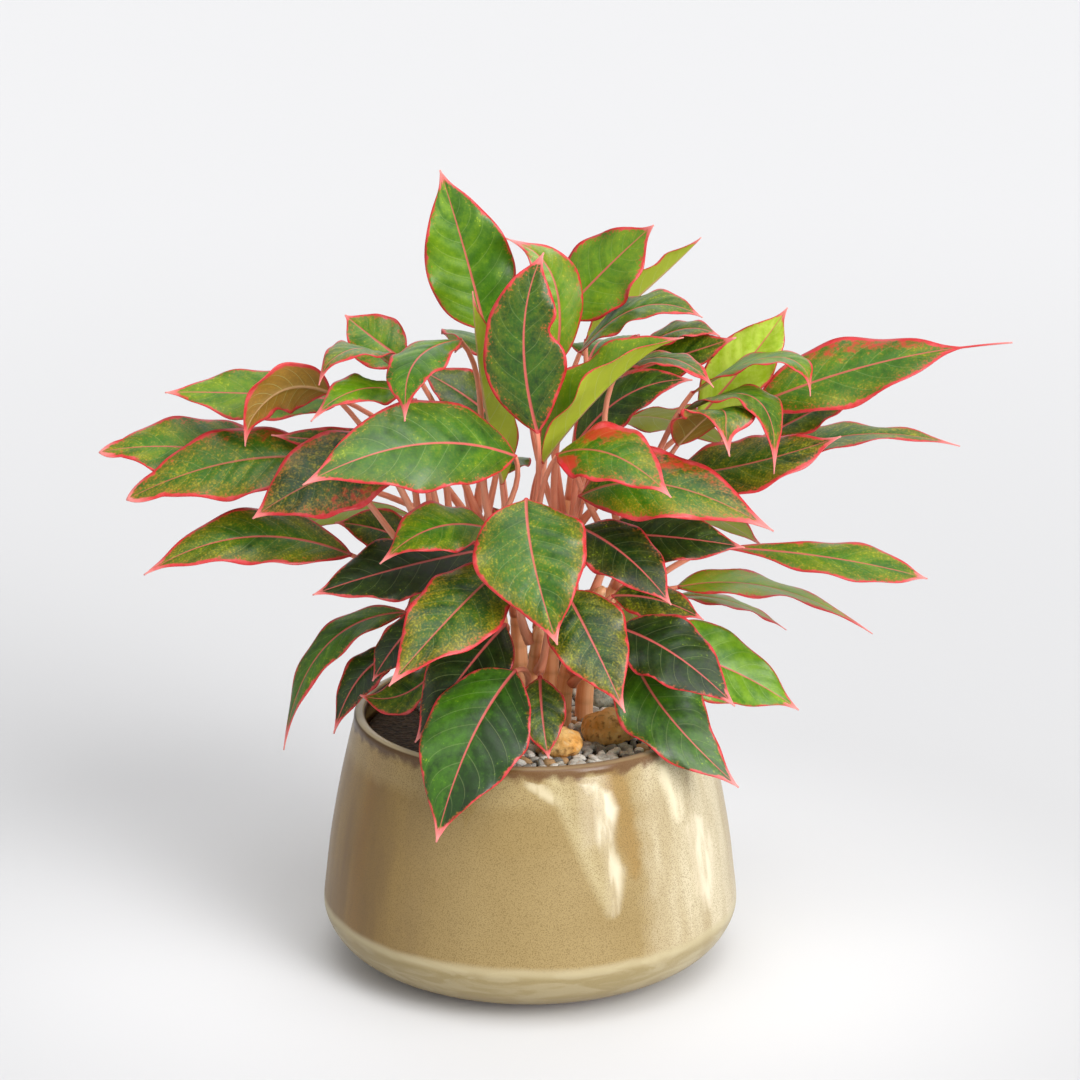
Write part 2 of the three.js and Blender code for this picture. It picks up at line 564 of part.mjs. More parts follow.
// Ten points round the blade: its upper side from edge to edge, and its under side back again, with
// the midrib standing out below.
function bladeRing(leaf, midrib, sideways, share) {
  const centre = midrib.getPoint(share);
  const { side, up } = frameAt(midrib.getTangent(share), sideways);
  const least = THREE.MathUtils.lerp(NECK_HALF_WIDTH, TIP_HALF_WIDTH, share);
  const halfWidth = Math.max(least, (leaf.width / 2) * bladeOutline(leaf, share));
  const fold = THREE.MathUtils.degToRad(leaf.fold ?? BLADE_FOLD);
  const top = [];
  const bottom = [];
  for (const across of [-1, -0.5, 0, 0.5, 1]) {
    const wave = WAVE_HEIGHT * Math.sin(WAVE_COUNT * Math.PI * share + WAVE_SHIFT * across);
    const rise = Math.abs(across) * Math.sin(fold) + (wave - EDGE_DROOP) * across ** 2;
    const point = centre.clone().addScaledVector(side, across * halfWidth * Math.cos(fold));
    point.addScaledVector(up, rise * halfWidth);
    const lift = up.clone();
    let half = BLADE_THICKNESS / 2;
    let rib = 0;
    if (across === 0) {
      half /= Math.cos(fold);
      rib = MIDRIB_DEPTH * (1 - share);
    } else {
      lift.multiplyScalar(Math.cos(fold)).addScaledVector(side, -Math.sign(across) * Math.sin(fold));
    }
    top.push(point.clone().addScaledVector(lift, half));
    bottom.unshift(point.clone().addScaledVector(lift, -half - rib));
  }
  return [...top, ...bottom];
}

// A separate leaf's stalk is moved in or out until its foot sits the seat gap away from the cane.
function seatedLeaf(leaf) {
  const cane = toSolid(caneSkin(caneOf(leaf)));
  let stand = STALK_FOOT_RADIUS;
  for (let i = 0; i < SEATING_STEPS; i += 1) {
    const gap = toSolid(leafSkin(leaf, stand)).minGap(cane, STALK_FOOT_RADIUS * 2);
    stand += SEAT_GAP - gap;
  }
  return leafSkin(leaf, stand);
}

function addLeaves() {
  for (const leaf of LEAVES) {
    if (!isGrown(leaf)) {
      addPiece(leaf.name, seatedLeaf(leaf), greenLeaf);
    }
  }
}

function addCanes() {
  for (const cane of CANES) {
    let solid = toSolid(caneSkin(cane));
    for (const leaf of GROWN_LEAVES.filter((each) => each.cane === cane.name)) {
      solid = solid.add(toSolid(leafSkin(leaf, -STALK_ROOT)));
    }
    addPiece(`cane_${cane.name}`, toGeometry(solid), cane.leafy ? greenLeaf : pinkCane);
  }
}

// Soil: fills the pot to a little below the lip, with a plain hole for each cane.
function addSoil() {
  const profile = [
    [0, POT_FLOOR + SEAT_GAP],
    [POT_FOOT_RADIUS - 8, POT_FLOOR + SEAT_GAP],
    [140, POT_FLOOR + 11],
    [POT_BELLY_RADIUS - POT_WALL - 9, 38],
    [POT_BELLY_RADIUS - POT_WALL - 3.3, 60],
    [POT_WAIST_RADIUS - POT_WALL - 2.7, POT_WAIST_HEIGHT],
    [POT_RIM_RADIUS - POT_WALL + 1.4, SOIL_TOP],
    [0, SOIL_TOP + SOIL_CROWN],
  ];
  let soil = toSolid(lathe(profile, SOIL_SIDES));
  for (const cane of CANES) {
    soil = soil.subtract(caneHole(cane));
  }
  addPiece('soil', toGeometry(soil), pottingSoil);
}

function caneHole(cane) {
  const radius = CANE_FOOT_RADIUS + 2 * SEAT_GAP;
  const hole = kernel.Manifold.cylinder(CANE_DEPTH * 2, radius, radius, CANE_HOLE_SIDES);
  return hole.translate([cane.foot[0], cane.foot[1], SOIL_TOP - CANE_DEPTH - SEAT_GAP]);
}

// Stones: river stones half sunk in the gravel. place is on the soil, size is long, wide and high.

const STONES = [
  { name: 'stone_ochre_front', place: [24, -66], size: [38, 32, 26], turn: 15, seed: 3,
    finish: ochreStone },
  { name: 'stone_ochre_right', place: [66, -32], size: [52, 38, 30], turn: -12, seed: 8,
    finish: ochreStone },
  { name: 'stone_ochre_side', place: [96, 14], size: [42, 34, 26], turn: 70, seed: 11,
    finish: ochreStone },
  { name: 'stone_ochre_far', place: [52, 96], size: [46, 36, 28], turn: -30, seed: 17,
    finish: ochreStone },
  { name: 'stone_grey', place: [62, 50], size: [30, 23, 18], turn: 30, seed: 23,
    finish: greyStone },
];
const STONE_ROUGHNESS = 0.14;
const STONE_RISE = 0.28;
const CUTTER = [400, 400, 100];

function stoneSolid(stone, grow) {
  const random = seededRandom(stone.seed);
  const ball = mergedCopy(new THREE.IcosahedronGeometry(1, 1));
  const points = ball.attributes.position;
  const [long, wide, high] = stone.size;
  const middle = vector(...stone.place, SOIL_TOP + GRAVEL_DEPTH + high * STONE_RISE);
  for (let i = 0; i < points.count; i += 1) {
    const swell = 1 - STONE_ROUGHNESS * random();
    const point = vector(points.getX(i), points.getY(i), points.getZ(i)).multiplyScalar(swell);
    point.multiply(vector(long / 2 + grow, wide / 2 + grow, high / 2 + grow));
    point.applyAxisAngle(vector(0, 0, 1), THREE.MathUtils.degToRad(stone.turn)).add(middle);
    points.setXYZ(i, point.x, point.y, point.z);
  }
  return toSolid(ball);
}

// Everything below the given height, for stones and gravel that rest on the soil.
function below(height) {
  return kernel.Manifold.cube(CUTTER, true).translate([0, 0, height - CUTTER[2] / 2]);
}

function addStones() {
  for (const stone of STONES) {
    const seated = stoneSolid(stone, 0).subtract(below(SOIL_TOP + SOIL_CROWN + SEAT_GAP));
    addPiece(stone.name, toGeometry(seated), stone.finish);
  }
}

// Gravel: a thin layer of grey chips on the soil, with sockets for the stones and round holes for
// the canes.
function addGravel() {
  const random = seededRandom(GRAVEL_SEED);
  const bottom = SOIL_TOP + SOIL_CROWN + SEAT_GAP;
  const layer = kernel.Manifold.cylinder(GRAVEL_DEPTH, GRAVEL_RADIUS, GRAVEL_RADIUS - 2, SOIL_SIDES);
  let bed = layer.translate([0, 0, bottom]);
  for (let i = 0; i < GRAVEL_CHIPS; i += 1) {
    const angle = random() * Math.PI * 2;
    const radius = (GRAVEL_RADIUS - GRAVEL_CHIP_SIZE) * Math.sqrt(random());
    const size = GRAVEL_CHIP_SIZE * THREE.MathUtils.lerp(0.7, 1.3, random());
    const chip = new THREE.OctahedronGeometry(1, 0);
    chip.scale(size, size * THREE.MathUtils.lerp(0.6, 0.9, random()), size * 0.6);
    chip.rotateZ(random() * Math.PI);
    chip.translate(radius * Math.cos(angle), radius * Math.sin(angle), bottom + GRAVEL_DEPTH);
    bed = bed.add(toSolid(chip));
  }
  const bareSoil = kernel.Manifold.cylinder(CANE_DEPTH, BARE_SOIL_RADIUS, BARE_SOIL_RADIUS, SOIL_SIDES);
  bed = bed.subtract(bareSoil.translate([...BARE_SOIL_PLACE, SOIL_TOP]));
  bed = bed.subtract(below(bottom));
  for (const cane of CANES) {
    bed = bed.subtract(caneHole(cane));
  }
  for (const stone of STONES) {
    bed = bed.subtract(stoneSolid(stone, 2 * SEAT_GAP));
  }
  addPiece('gravel', toGeometry(largestPiece(bed)), greyGravel);
}

function largestPiece(solid) {
  return solid.decompose().reduce((best, each) => (each.volume() > best.volume() ? each : best));
}

addPot();
addSoil();
addGravel();
addStones();
addCanes();
addLeaves();

export default plant;
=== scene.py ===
import math
from types import SimpleNamespace

import bmesh
import bpy
import numpy as np
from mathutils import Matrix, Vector, noise


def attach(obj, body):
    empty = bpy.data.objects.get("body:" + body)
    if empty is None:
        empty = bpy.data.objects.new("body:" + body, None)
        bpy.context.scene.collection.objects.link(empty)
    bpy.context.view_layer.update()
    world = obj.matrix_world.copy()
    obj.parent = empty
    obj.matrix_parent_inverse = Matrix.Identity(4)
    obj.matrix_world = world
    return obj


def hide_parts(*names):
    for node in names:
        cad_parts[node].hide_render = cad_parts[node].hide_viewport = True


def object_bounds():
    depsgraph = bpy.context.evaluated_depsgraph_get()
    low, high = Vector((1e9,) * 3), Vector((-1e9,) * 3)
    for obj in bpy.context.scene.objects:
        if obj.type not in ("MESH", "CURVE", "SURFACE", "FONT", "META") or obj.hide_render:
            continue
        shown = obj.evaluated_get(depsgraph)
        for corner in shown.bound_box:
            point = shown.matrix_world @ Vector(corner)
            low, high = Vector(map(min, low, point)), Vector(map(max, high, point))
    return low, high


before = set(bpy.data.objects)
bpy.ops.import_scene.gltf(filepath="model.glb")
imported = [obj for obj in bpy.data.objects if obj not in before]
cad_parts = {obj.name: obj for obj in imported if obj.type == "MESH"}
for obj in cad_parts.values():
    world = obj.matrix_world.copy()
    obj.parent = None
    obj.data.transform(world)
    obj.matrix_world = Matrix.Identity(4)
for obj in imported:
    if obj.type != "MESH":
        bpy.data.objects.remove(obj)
cad_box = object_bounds()
MM = 0.001

# The planter: a round stoneware pot, thrown on a wheel, with a low wide belly, walls that lean in
# to a rolled lip, and a flat foot. It was dipped in a runny ochre glaze, and a cream glaze poured
# over its right front ran down in tongues.
POT_PROFILE = [
    (0, 0), (112, 0), (118, 0.4), (122, 2.4), (136, 7.6), (150, 15), (160, 24), (166.4, 34),
    (169.4, 42), (170, 47), (169.6, 54), (168.2, 66), (164, 100), (159.6, 126), (155, 150),
    (149.2, 176), (144.4, 196), (143.2, 200.4), (143.3, 202.4), (143, 205.2), (141.4, 207.4),
    (138.6, 208), (136, 207.8), (134.2, 206.2), (133.6, 203.5), (134.6, 199), (137, 190),
    (147, 150), (156, 100), (160.8, 62), (158, 40), (144, 22), (112, 11), (0, 11),
]
POT_SIDES = 160
POT_STEP = 3.0
# Runs of the poured glaze and the gap beside them, as height in mm, turn round the pot from its
# front and half-width, both in degrees. The long run and the side run are partly painted
# highlight, bright streaks of reflected light laid in as glaze.
LONG_RUN = [(86, 23.7, 0), (94, 23.8, 1.1), (104, 24.2, 1.3), (124, 24.8, 1.9), (140, 23.6, 1.1),
            (152, 22.6, 1.8), (172, 23.7, 3.2), (185, 22.0, 2.4), (193, 18, 1.2), (197, 15, 0)]
SHORT_RUN = [(176, 9.5, 0), (184, 7.6, 1.6), (190, 4.6, 2.4), (195, 2.2, 2.6), (199, 0, 0)]
SIDE_RUN = [(146, 50, 0), (154, 49.5, 2), (172, 49, 2.6), (190, 46.5, 2.4), (196, 45, 0)]
PALE_TONGUE = [(66, 58, 0), (84, 58.5, 3.5), (120, 59, 5.5), (142, 57, 4.5), (150, 56, 0)]
BROWN_GAP = [(112, 31, 0), (126, 30.5, 2.4), (150, 29.5, 3.6), (178, 28.5, 3.4), (197, 27, 4.6),
             (203, 26, 0)]
RUN_SPAN = 90.0
RUN_END = 0.8
POT_HEIGHT = 208.0
# How a cover sets in between the two values of what it follows.
SOFT, EVEN = "SMOOTHSTEP", "LINEAR"


def linear(code):
    """The linear colour of an sRGB hex code."""
    values = [int(code[i:i + 2], 16) / 255 for i in (1, 3, 5)]
    values = [v / 12.92 if v <= 0.04045 else ((v + 0.055) / 1.055) ** 2.4 for v in values]
    return (*values, 1.0)


def add(tree, kind, inputs=(), **settings):
    """A new node. settings are its properties. inputs, by socket name or in order, are values, hex
    colours, or the nodes and sockets that feed it."""
    made = tree.nodes.new(kind)
    for name, value in settings.items():
        setattr(made, name, value)
    sockets = [s for s in made.inputs if s.enabled]
    for key, value in inputs.items() if isinstance(inputs, dict) else enumerate(inputs):
        socket = next(s for s in sockets if s.name == key) if isinstance(key, str) else sockets[key]
        if isinstance(value, bpy.types.Node):
            value = next(s for s in value.outputs if s.enabled)
        if isinstance(value, bpy.types.NodeSocket):
            tree.links.new(value, socket)
        else:
            is_colour = isinstance(value, str) and value.startswith("#")
            socket.default_value = linear(value) if is_colour else value
    return made


def set_stops(ramp, stops):
    """Give a colour ramp its stops, each a place and a linear colour."""
    for place, _ in stops[2:]:
        ramp.elements.new(place)
    for stop, (place, colour) in zip(ramp.elements, stops):
        stop.position = place
        stop.color = colour


def layered(tree, colour, layers):
    """The colour with layers over it. Each row gives what the layer follows, at which value of that
    it starts and at which it is full, its strength, its colour and how it sets in."""
    for follows, start, full, strength, over, ease in layers:
        cover = add(tree, "ShaderNodeMapRange", [follows, start, full, 0, strength],
                    interpolation_type=ease)
        colour = add(tree, "ShaderNodeMix", [cover, colour, over], data_type="RGBA")
    return colour


def new_material(name, surface, *details):
    """A material whose shader takes what the function surface gives for its sockets."""
    material = bpy.data.materials.new(name)
    material.use_nodes = True
    tree = material.node_tree
    tree.nodes.clear()
    shader = add(tree, "ShaderNodeBsdfPrincipled", surface(tree, *details))
    add(tree, "ShaderNodeOutputMaterial", {"Surface": shader})
    return material


def new_object(name, mesh, smooth=True):
    """An object at the origin that shows a mesh, shaded smooth or flat."""
    mesh.polygons.foreach_set("use_smooth", [smooth] * len(mesh.polygons))
    piece = bpy.data.objects.new(name, mesh)
    bpy.context.scene.collection.objects.link(piece)
    return piece


def new_piece(name, vertices, faces, materials, smooth=True):
    """A mesh object at the origin, with its vertices given in millimetres."""
    mesh = bpy.data.meshes.new(name)
    mesh.from_pydata([[c * MM for c in v] for v in vertices], [], faces)
    for material in materials:
        mesh.materials.append(material)
    mesh.update()
    return new_object(name, mesh, smooth)


def poured_run(t, turn, height, path, softness):
    """How much of one run of poured glaze lies at a spot: 0 outside it, 1 inside."""
    share = add(t, "ShaderNodeMath", [height, POT_HEIGHT], operation="DIVIDE")
    guide = add(t, "ShaderNodeValToRGB", [share])
    set_stops(guide.color_ramp, [
        (level / POT_HEIGHT, (middle / RUN_SPAN, half / RUN_SPAN, 0, 1)) for level, middle, half in path])
    middle, half = add(t, "ShaderNodeSeparateColor", [guide]).outputs[:2]
    aside = add(t, "ShaderNodeMath", [middle, -RUN_SPAN, turn], operation="MULTIPLY_ADD")
    aside = add(t, "ShaderNodeMath", [aside], operation="ABSOLUTE")
    outside = add(t, "ShaderNodeMath", [half, -RUN_SPAN, aside], operation="MULTIPLY_ADD")
    inside = add(t, "ShaderNodeMapRange", [outside, softness, -softness], interpolation_type=SOFT)
    ends = add(t, "ShaderNodeMapRange", [half, 0, RUN_END / RUN_SPAN])
    return add(t, "ShaderNodeMath", [inside, ends], operation="MULTIPLY")


def stoneware_glaze(t):
    """Ochre stoneware glaze under a clear gloss coat: fine iron specks, browner and darker at the left
    with painted shade, cream runs at the right front, two of them partly painted highlight, a brown
    line where it thinned under the lip, a milky band at the foot that is darkened with painted shade."""
    place = add(t, "ShaderNodeTexCoord").outputs["Object"]
    x, y, z = add(t, "ShaderNodeSeparateXYZ", [place]).outputs
    front = add(t, "ShaderNodeMath", [y, -1], operation="MULTIPLY")
    angle = add(t, "ShaderNodeMath", [x, front], operation="ARCTAN2")
    turn = add(t, "ShaderNodeMath", [angle, math.degrees(1)], operation="MULTIPLY")
    height = add(t, "ShaderNodeMath", [z, 1 / MM], operation="MULTIPLY")
    # Wet glaze ran downwards, which draws its streaks out; at the foot it pooled and lies level.
    running = add(t, "ShaderNodeMapping", {"Vector": place, "Scale": (1, 1, 0.14)})
    lying = add(t, "ShaderNodeMapping", {"Vector": place, "Scale": (0.5, 0.5, 2.2)})
    cloud, ragged, specks, streaks, thinned = (
        add(t, "ShaderNodeTexNoise", row) for row in (
            (place, 15, 4), (place, 75, 4), (place, 1200, 1), (running, 34, 3), (running, 95, 3)))
    marbled = add(t, "ShaderNodeTexNoise", {
        "Vector": lying, "Scale": 46, "Detail": 4, "Distortion": 1.2})
    # Turns and heights that wander: the pattern, its reach, the turn or height, and what centres it.
    wander, sideways, level, wavy, mottled, past_edge = (
        add(t, "ShaderNodeMath", [
            add(t, "ShaderNodeMath", [pattern, reach, base], operation="MULTIPLY_ADD"), centring])
        for pattern, reach, base, centring in (
            (ragged, 5, turn, -2.5), (streaks, 5, turn, -2.5), (ragged, 12, height, -6),
            (cloud, 8, height, 0), (ragged, 18, height, 0), (height, 0.148, turn, -34.9)))
    # Covers: what each follows, where that starts and ends, and for some from how much to how much.
    # left and behind follow the left side and the back, which are darkened with painted shade.
    left, behind, thin, round_back, thick, marbled = (
        add(t, "ShaderNodeMapRange", row, interpolation_type=SOFT) for row in (
            (turn, -12, -60, 0, 0.85), (turn, 105, 170, 0, 0.85), (wander, 30, 40),
            (wander, 128, 104), (streaks, 0.36, 0.62, 0.42, 0.92), (marbled, 0.4, 0.62)))
    streaked, worn, enters, fades, short, above = (
        add(t, "ShaderNodeMapRange", row) for row in (
            (streaks, 0.35, 0.65), (wander, -24, -6), (past_edge, -1.6, 1.6),
            (past_edge, 0.5, 8, 0.55, 0.15), (turn, 24, 22), (level, 84, 104)))
    left = add(t, "ShaderNodeMath", [left, behind], operation="MAXIMUM")
    cream, veil = thin, enters
    for part in (round_back, thick):
        cream = add(t, "ShaderNodeMath", [cream, part], operation="MULTIPLY")
    for part in (fades, short, above):
        veil = add(t, "ShaderNodeMath", [veil, part], operation="MULTIPLY")
    off_streak, off_ridge = (
        add(t, "ShaderNodeMath", [add(t, "ShaderNodeMath", [value, -middle])], operation="ABSOLUTE")
        for value, middle in ((wander, -57), (wavy, 53)))
    # The milky band's colours are darkened with painted shade.
    # The under-lip brown darkens towards the left: painted shade.
    body, brown, milk, fired, lip = (
        add(t, "ShaderNodeMix", row, data_type="RGBA") for row in (
            (cloud, "#8C7546", "#A18C5E"), (streaked, "#694A1A", "#846528"),
            (marbled, "#93845C", "#A29572"), (left, "#5C3818", "#38210D"),
            (worn, "#B9A985", "#917A5A")))
    layers = [
        # Browner and darker towards the left and on round the back, partly a browner glaze and partly
        # painted shade on the side away from the light, with a warm streak where the dip ran thin.
        (left, 0, 1, 1, brown, EVEN), (off_streak, 6, 0, 0.35, "#8A6426", SOFT),
        # A second dip of the same glaze ends in a faint line 28 mm below the lip.
        (level, 173, 184, 0.3, "#B7A476", EVEN),
        # The cream glaze covers the right side thinly, beyond a clear brown gap.
        (cream, 0, 1, 1, "#CCC0A0", EVEN),
        (poured_run(t, wander, level, BROWN_GAP, 2.2), 0, 1, 0.7, "#94743C", EVEN),
        # A thin veil of cream fills the V between the short run and the long one.
        (veil, 0, 1, 1, "#C6B98E", EVEN),
        # Specks of iron about 1 mm across.
        (specks, 0.46, 0.68, 0.55, "#66502A", SOFT)]
    # The runs themselves lie over the specks, milky where they are thick and clear where thin. The
    # long run and the side run are partly painted highlight, bright streaks of reflected light.
    for path, softness, strength, code in (
            (PALE_TONGUE, 3.4, 0.9, "#DCD0B4"), (SIDE_RUN, 2.8, 0.9, "#DFD4B4"),
            (SHORT_RUN, 2.0, 0.8, "#CEC19E"), (LONG_RUN, 2.0, 0.85, "#D8CDB0")):
        milky = add(t, "ShaderNodeMapRange", [thinned, 0.38, 0.56, 0.35 * strength, strength],
                    interpolation_type=SOFT)
        run = add(t, "ShaderNodeMath", [poured_run(t, sideways, level, path, softness), milky],
                  operation="MULTIPLY")
        layers.append((run, 0, 1, 1, code, EVEN))
    layers += [
        # Below the belly the glaze pooled thick and milky, with a paler upper edge. Its colours are
        # darkened with painted shade, where the belly's underside faces down, and darker still towards
        # the foot.
        (wavy, 59, 51, 0.8, milk, SOFT), (off_ridge, 6.5, 0.5, 0.5, "#BDB08B", SOFT),
        (wavy, 34, 18, 0.45, "#7F6A44", SOFT),
        # Under the lip it thinned to a mottled reddish brown, darker towards the left with painted
        # shade. The lip's top is pale, and at the front it is worn brown as well. The foot is bare.
        (mottled, 205, 212, 0.85, fired, SOFT), (height, 206.4, 207.4, 0.8, lip, EVEN),
        (height, 5, 2.5, 1, "#7A5430", EVEN)]
    # An uneven skin, in waves of 2 to 13 mm, and the faint rings left by the potter's fingers.
    rings = add(t, "ShaderNodeTexWave", {"Vector": place, "Scale": 36, "Distortion": 1.5},
                wave_type="BANDS", bands_direction="Z")
    uneven = add(t, "ShaderNodeMath", [rings, 0.25, ragged], operation="MULTIPLY_ADD")
    relief = add(t, "ShaderNodeBump", {"Strength": 0.1, "Distance": 0.0012, "Height": uneven})
    return {"Base Color": layered(t, body, layers), "Roughness": 0.5, "IOR": 1.5,
            "Specular IOR Level": 0.15, "Coat Weight": 0.35, "Coat Roughness": 0.08,
            "Coat IOR": 1.5, "Normal": relief}


def eased_profile(points, step):
    """The profile with more points, on a smooth curve through those given."""
    given = np.array(points, float)
    fine = [given[0]]
    for i in range(len(given) - 1):
        before, start = given[max(i - 1, 0)], given[i]
        end, after = given[i + 1], given[min(i + 2, len(given) - 1)]
        gap = float(np.linalg.norm(end - start))
        count = 6 if i in (0, len(given) - 2) else max(1, round(gap / step))
        first = (end - before) * gap / max(np.linalg.norm(end - before), 1e-6)
        last = (after - start) * gap / max(np.linalg.norm(after - start), 1e-6)
        for k in range(1, count + 1):
            s = k / count
            fine.append((2 * s**3 - 3 * s**2 + 1) * start + (s**3 - 2 * s**2 + s) * first
                        + (3 * s**2 - 2 * s**3) * end + (s**3 - s**2) * last)
    return fine


def turned(name, profile, sides, materials):
    """A closed body turned round the Z axis from a profile that starts and ends on it."""
    inner = profile[1:-1]
    vertices = [(0, 0, profile[0][1])]
    for r, z in inner:
        for i in range(sides):
            angle = 2 * math.pi * i / sides
            vertices.append((r * math.cos(angle), r * math.sin(angle), z))
    vertices.append((0, 0, profile[-1][1]))
    faces = []
    top = len(vertices) - 1
    for i in range(sides):
        j = (i + 1) % sides
        faces.append((0, 1 + j, 1 + i))
        for k in range(len(inner) - 1):
            a, b = 1 + k * sides + i, 1 + k * sides + j
            faces.append((a, b, b + sides, a + sides))
        faces.append((top, top - sides + i, top - sides + j))
    return new_piece(name, vertices, faces, materials)


planter = turned("glazed_planter", eased_profile(POT_PROFILE, POT_STEP), POT_SIDES,
                 [new_material("speckled stoneware glaze", stoneware_glaze)])
for vertex in planter.data.vertices:
    vertex.co.z = max(vertex.co.z, 0.0)
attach(planter, "root")
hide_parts("pot")

# The potting mix: dark, crumbly peat and bark that fills the pot to just below the lip and holds
# the canes. It lies bare in a patch at the left.
SOIL_TOP = 190.0
SOIL_RADIUS = 132.0
SOIL_RINGS = 44


def potting_mix(t):
    """Damp peat and bark, dark brown to black, in crumbs of 2 to 6 mm."""
    place = add(t, "ShaderNodeTexCoord").outputs["Object"]
    crumbs = add(t, "ShaderNodeTexVoronoi", {"Vector": place, "Scale": 260})
    dust = add(t, "ShaderNodeTexNoise", [place, 520, 4])
    colour = layered(t, "#251C14", [
        (crumbs.outputs["Color"], 0, 1, 1, "#574432", EVEN), (dust, 0.45, 0.7, 0.6, "#150F0B", EVEN)])
    bump = add(t, "ShaderNodeBump", {"Strength": 0.8, "Distance": 0.002, "Height": crumbs})
    return {"Base Color": colour, "Roughness": 0.92, "Normal": bump}


def lumpy_soil():
    """A crumbled upper face over the plain body that fills the pot."""
    profile = [(0, 11.3), (110, 11.3), (140, 22), (153, 38), (158.7, 60), (153.3, 100),
               (146, 132), (139.2, 165), (134.6, 186), (SOIL_RADIUS, SOIL_TOP - 1)]
    profile += [(SOIL_RADIUS * (1 - k / SOIL_RINGS), SOIL_TOP) for k in range(1, SOIL_RINGS)]
    profile.append((0, SOIL_TOP))
    body = turned("potting_soil", profile, 96, [new_material("damp potting mix", potting_mix)])
    for vertex in body.data.vertices:
        if vertex.co.z > (SOIL_TOP - 2) * MM:
            spot = Vector((vertex.co.x, vertex.co.y, 0)) * 130
            vertex.co.z += (0.9 * noise.noise(spot) + 0.7 * noise.noise(spot * 3)) * MM
    return body


soil = lumpy_soil()
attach(soil, "root")
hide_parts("soil")

# The gravel: dry grey and white river chips about 8 mm long, spread one or two deep over the soil,
# except on a patch at the left. Geometry Nodes scatter and turn the chips.
GRAVEL_RADIUS = 128.0
BARE_PATCH = (-112.0, -20.0, 62.0)
BED_STEP = 6.0
BED_LIFT = 1.6
BED_WAVE = 1.6
CHIP_SETTINGS = {"Spacing": 0.0058, "Chip size": 0.0052, "Density": 42000.0, "Knock": 0.005,
                 "Seed": 11}


def river_chips(t):
    """Rounded chips of mixed river gravel: greys, off-whites and a few browns, matt and dusty."""
    tint = add(t, "ShaderNodeAttribute", attribute_name="chip_tint").outputs["Fac"]
    tones = add(t, "ShaderNodeValToRGB", [tint])
    tones.color_ramp.interpolation = "CONSTANT"
    set_stops(tones.color_ramp, [(place, linear(code)) for place, code in (
        (0, "#85827B"), (0.16, "#B4B0A6"), (0.42, "#D0CABD"), (0.68, "#F3EFE4"), (0.9, "#C59C6C"))])
    where = add(t, "ShaderNodeTexCoord").outputs["Object"]
    grain = add(t, "ShaderNodeTexNoise", [where, 700, 4])
    bump = add(t, "ShaderNodeBump", {"Strength": 0.5, "Distance": 0.0006, "Height": grain})
    return {"Base Color": layered(t, tones, [(grain, 0.45, 0.75, 0.35, "#4B4740", EVEN)]),
            "Roughness": 0.75, "Normal": bump}


def scattering(material):
    """The tree that scatters chips over the faces of the gravel's bed."""
    tree = bpy.data.node_groups.new("scattered gravel chips", "GeometryNodeTree")
    tree.interface.new_socket("Bed", in_out="INPUT", socket_type="NodeSocketGeometry")
    for name, value in CHIP_SETTINGS.items():
        kind = "NodeSocketInt" if isinstance(value, int) else "NodeSocketFloat"
        tree.interface.new_socket(name, in_out="INPUT", socket_type=kind)
    tree.interface.new_socket("Chips", in_out="OUTPUT", socket_type="NodeSocketGeometry")
    given = add(tree, "NodeGroupInput").outputs
    spots = add(tree, "GeometryNodeDistributePointsOnFaces", {
        "Mesh": given["Bed"], "Distance Min": given["Spacing"], "Density Max": given["Density"],
        "Seed": given["Seed"]}, distribute_method="POISSON")
    ball = add(tree, "GeometryNodeMeshUVSphere", {
        "Radius": given["Chip size"], "Segments": 8, "Rings": 6})
    knock = add(tree, "ShaderNodeTexNoise", {"Scale": 160, "Detail": 1})
    push = add(tree, "ShaderNodeVectorMath", [knock.outputs["Color"], (0.5, 0.5, 0.5)],
               operation="SUBTRACT")
    shove = add(tree, "ShaderNodeVectorMath", {0: push, "Scale": given["Knock"]}, operation="SCALE")
    chip = add(tree, "GeometryNodeSetPosition", {"Geometry": ball.outputs["Mesh"], "Offset": shove})
    # Each chip's tilt and turn, its size along each axis, and its tint.
    spin, size, tint = (
        add(tree, "FunctionNodeRandomValue", {"Min": low, "Max": high, "Seed": given["Seed"]},
            data_type=kind)
        for low, high, kind in (
            ((-0.5, -0.5, 0), (0.5, 0.5, 6.28), "FLOAT_VECTOR"),
            ((0.75, 0.5, 0.42), (1.35, 0.95, 0.75), "FLOAT_VECTOR"), (0, 1, "FLOAT")))
    placed = add(tree, "GeometryNodeInstanceOnPoints", {
        "Points": spots.outputs["Points"], "Instance": chip, "Rotation": spin, "Scale": size})
    marked = add(tree, "GeometryNodeStoreNamedAttribute", {
        "Geometry": placed, "Name": "chip_tint", "Value": tint},
        data_type="FLOAT", domain="INSTANCE")
    real = add(tree, "GeometryNodeRealizeInstances", [marked])
    done = add(tree, "GeometryNodeSetMaterial", {"Geometry": real, "Material": material})
    add(tree, "NodeGroupOutput", {"Chips": done})
    return tree


def bed_height(x, y):
    """How high the gravel's bed lies: it rises and falls by a millimetre or so."""
    return SOIL_TOP + BED_LIFT + BED_WAVE * noise.noise(Vector((x, y, 0)) * 0.03)


def gravel_bed(material):
    """A disc with the bare patch left out, on which the chips lie."""
    vertices, faces, index = [], [], {}
    count = int(2 * GRAVEL_RADIUS / BED_STEP)
    for i in range(count + 1):
        for j in range(count + 1):
            x, y = -GRAVEL_RADIUS + i * BED_STEP, -GRAVEL_RADIUS + j * BED_STEP
            inside = math.hypot(x, y) < GRAVEL_RADIUS - BED_STEP / 2
            bare = math.hypot(x - BARE_PATCH[0], y - BARE_PATCH[1]) < BARE_PATCH[2]
            if inside and not bare:
                index[i, j] = len(vertices)
                vertices.append((x, y, bed_height(x, y)))
    for i, j in index:
        corners = [(i, j), (i + 1, j), (i + 1, j + 1), (i, j + 1)]
        if all(c in index for c in corners):
            faces.append([index[c] for c in corners])
    return new_piece("gravel_bed", vertices, faces, [material])


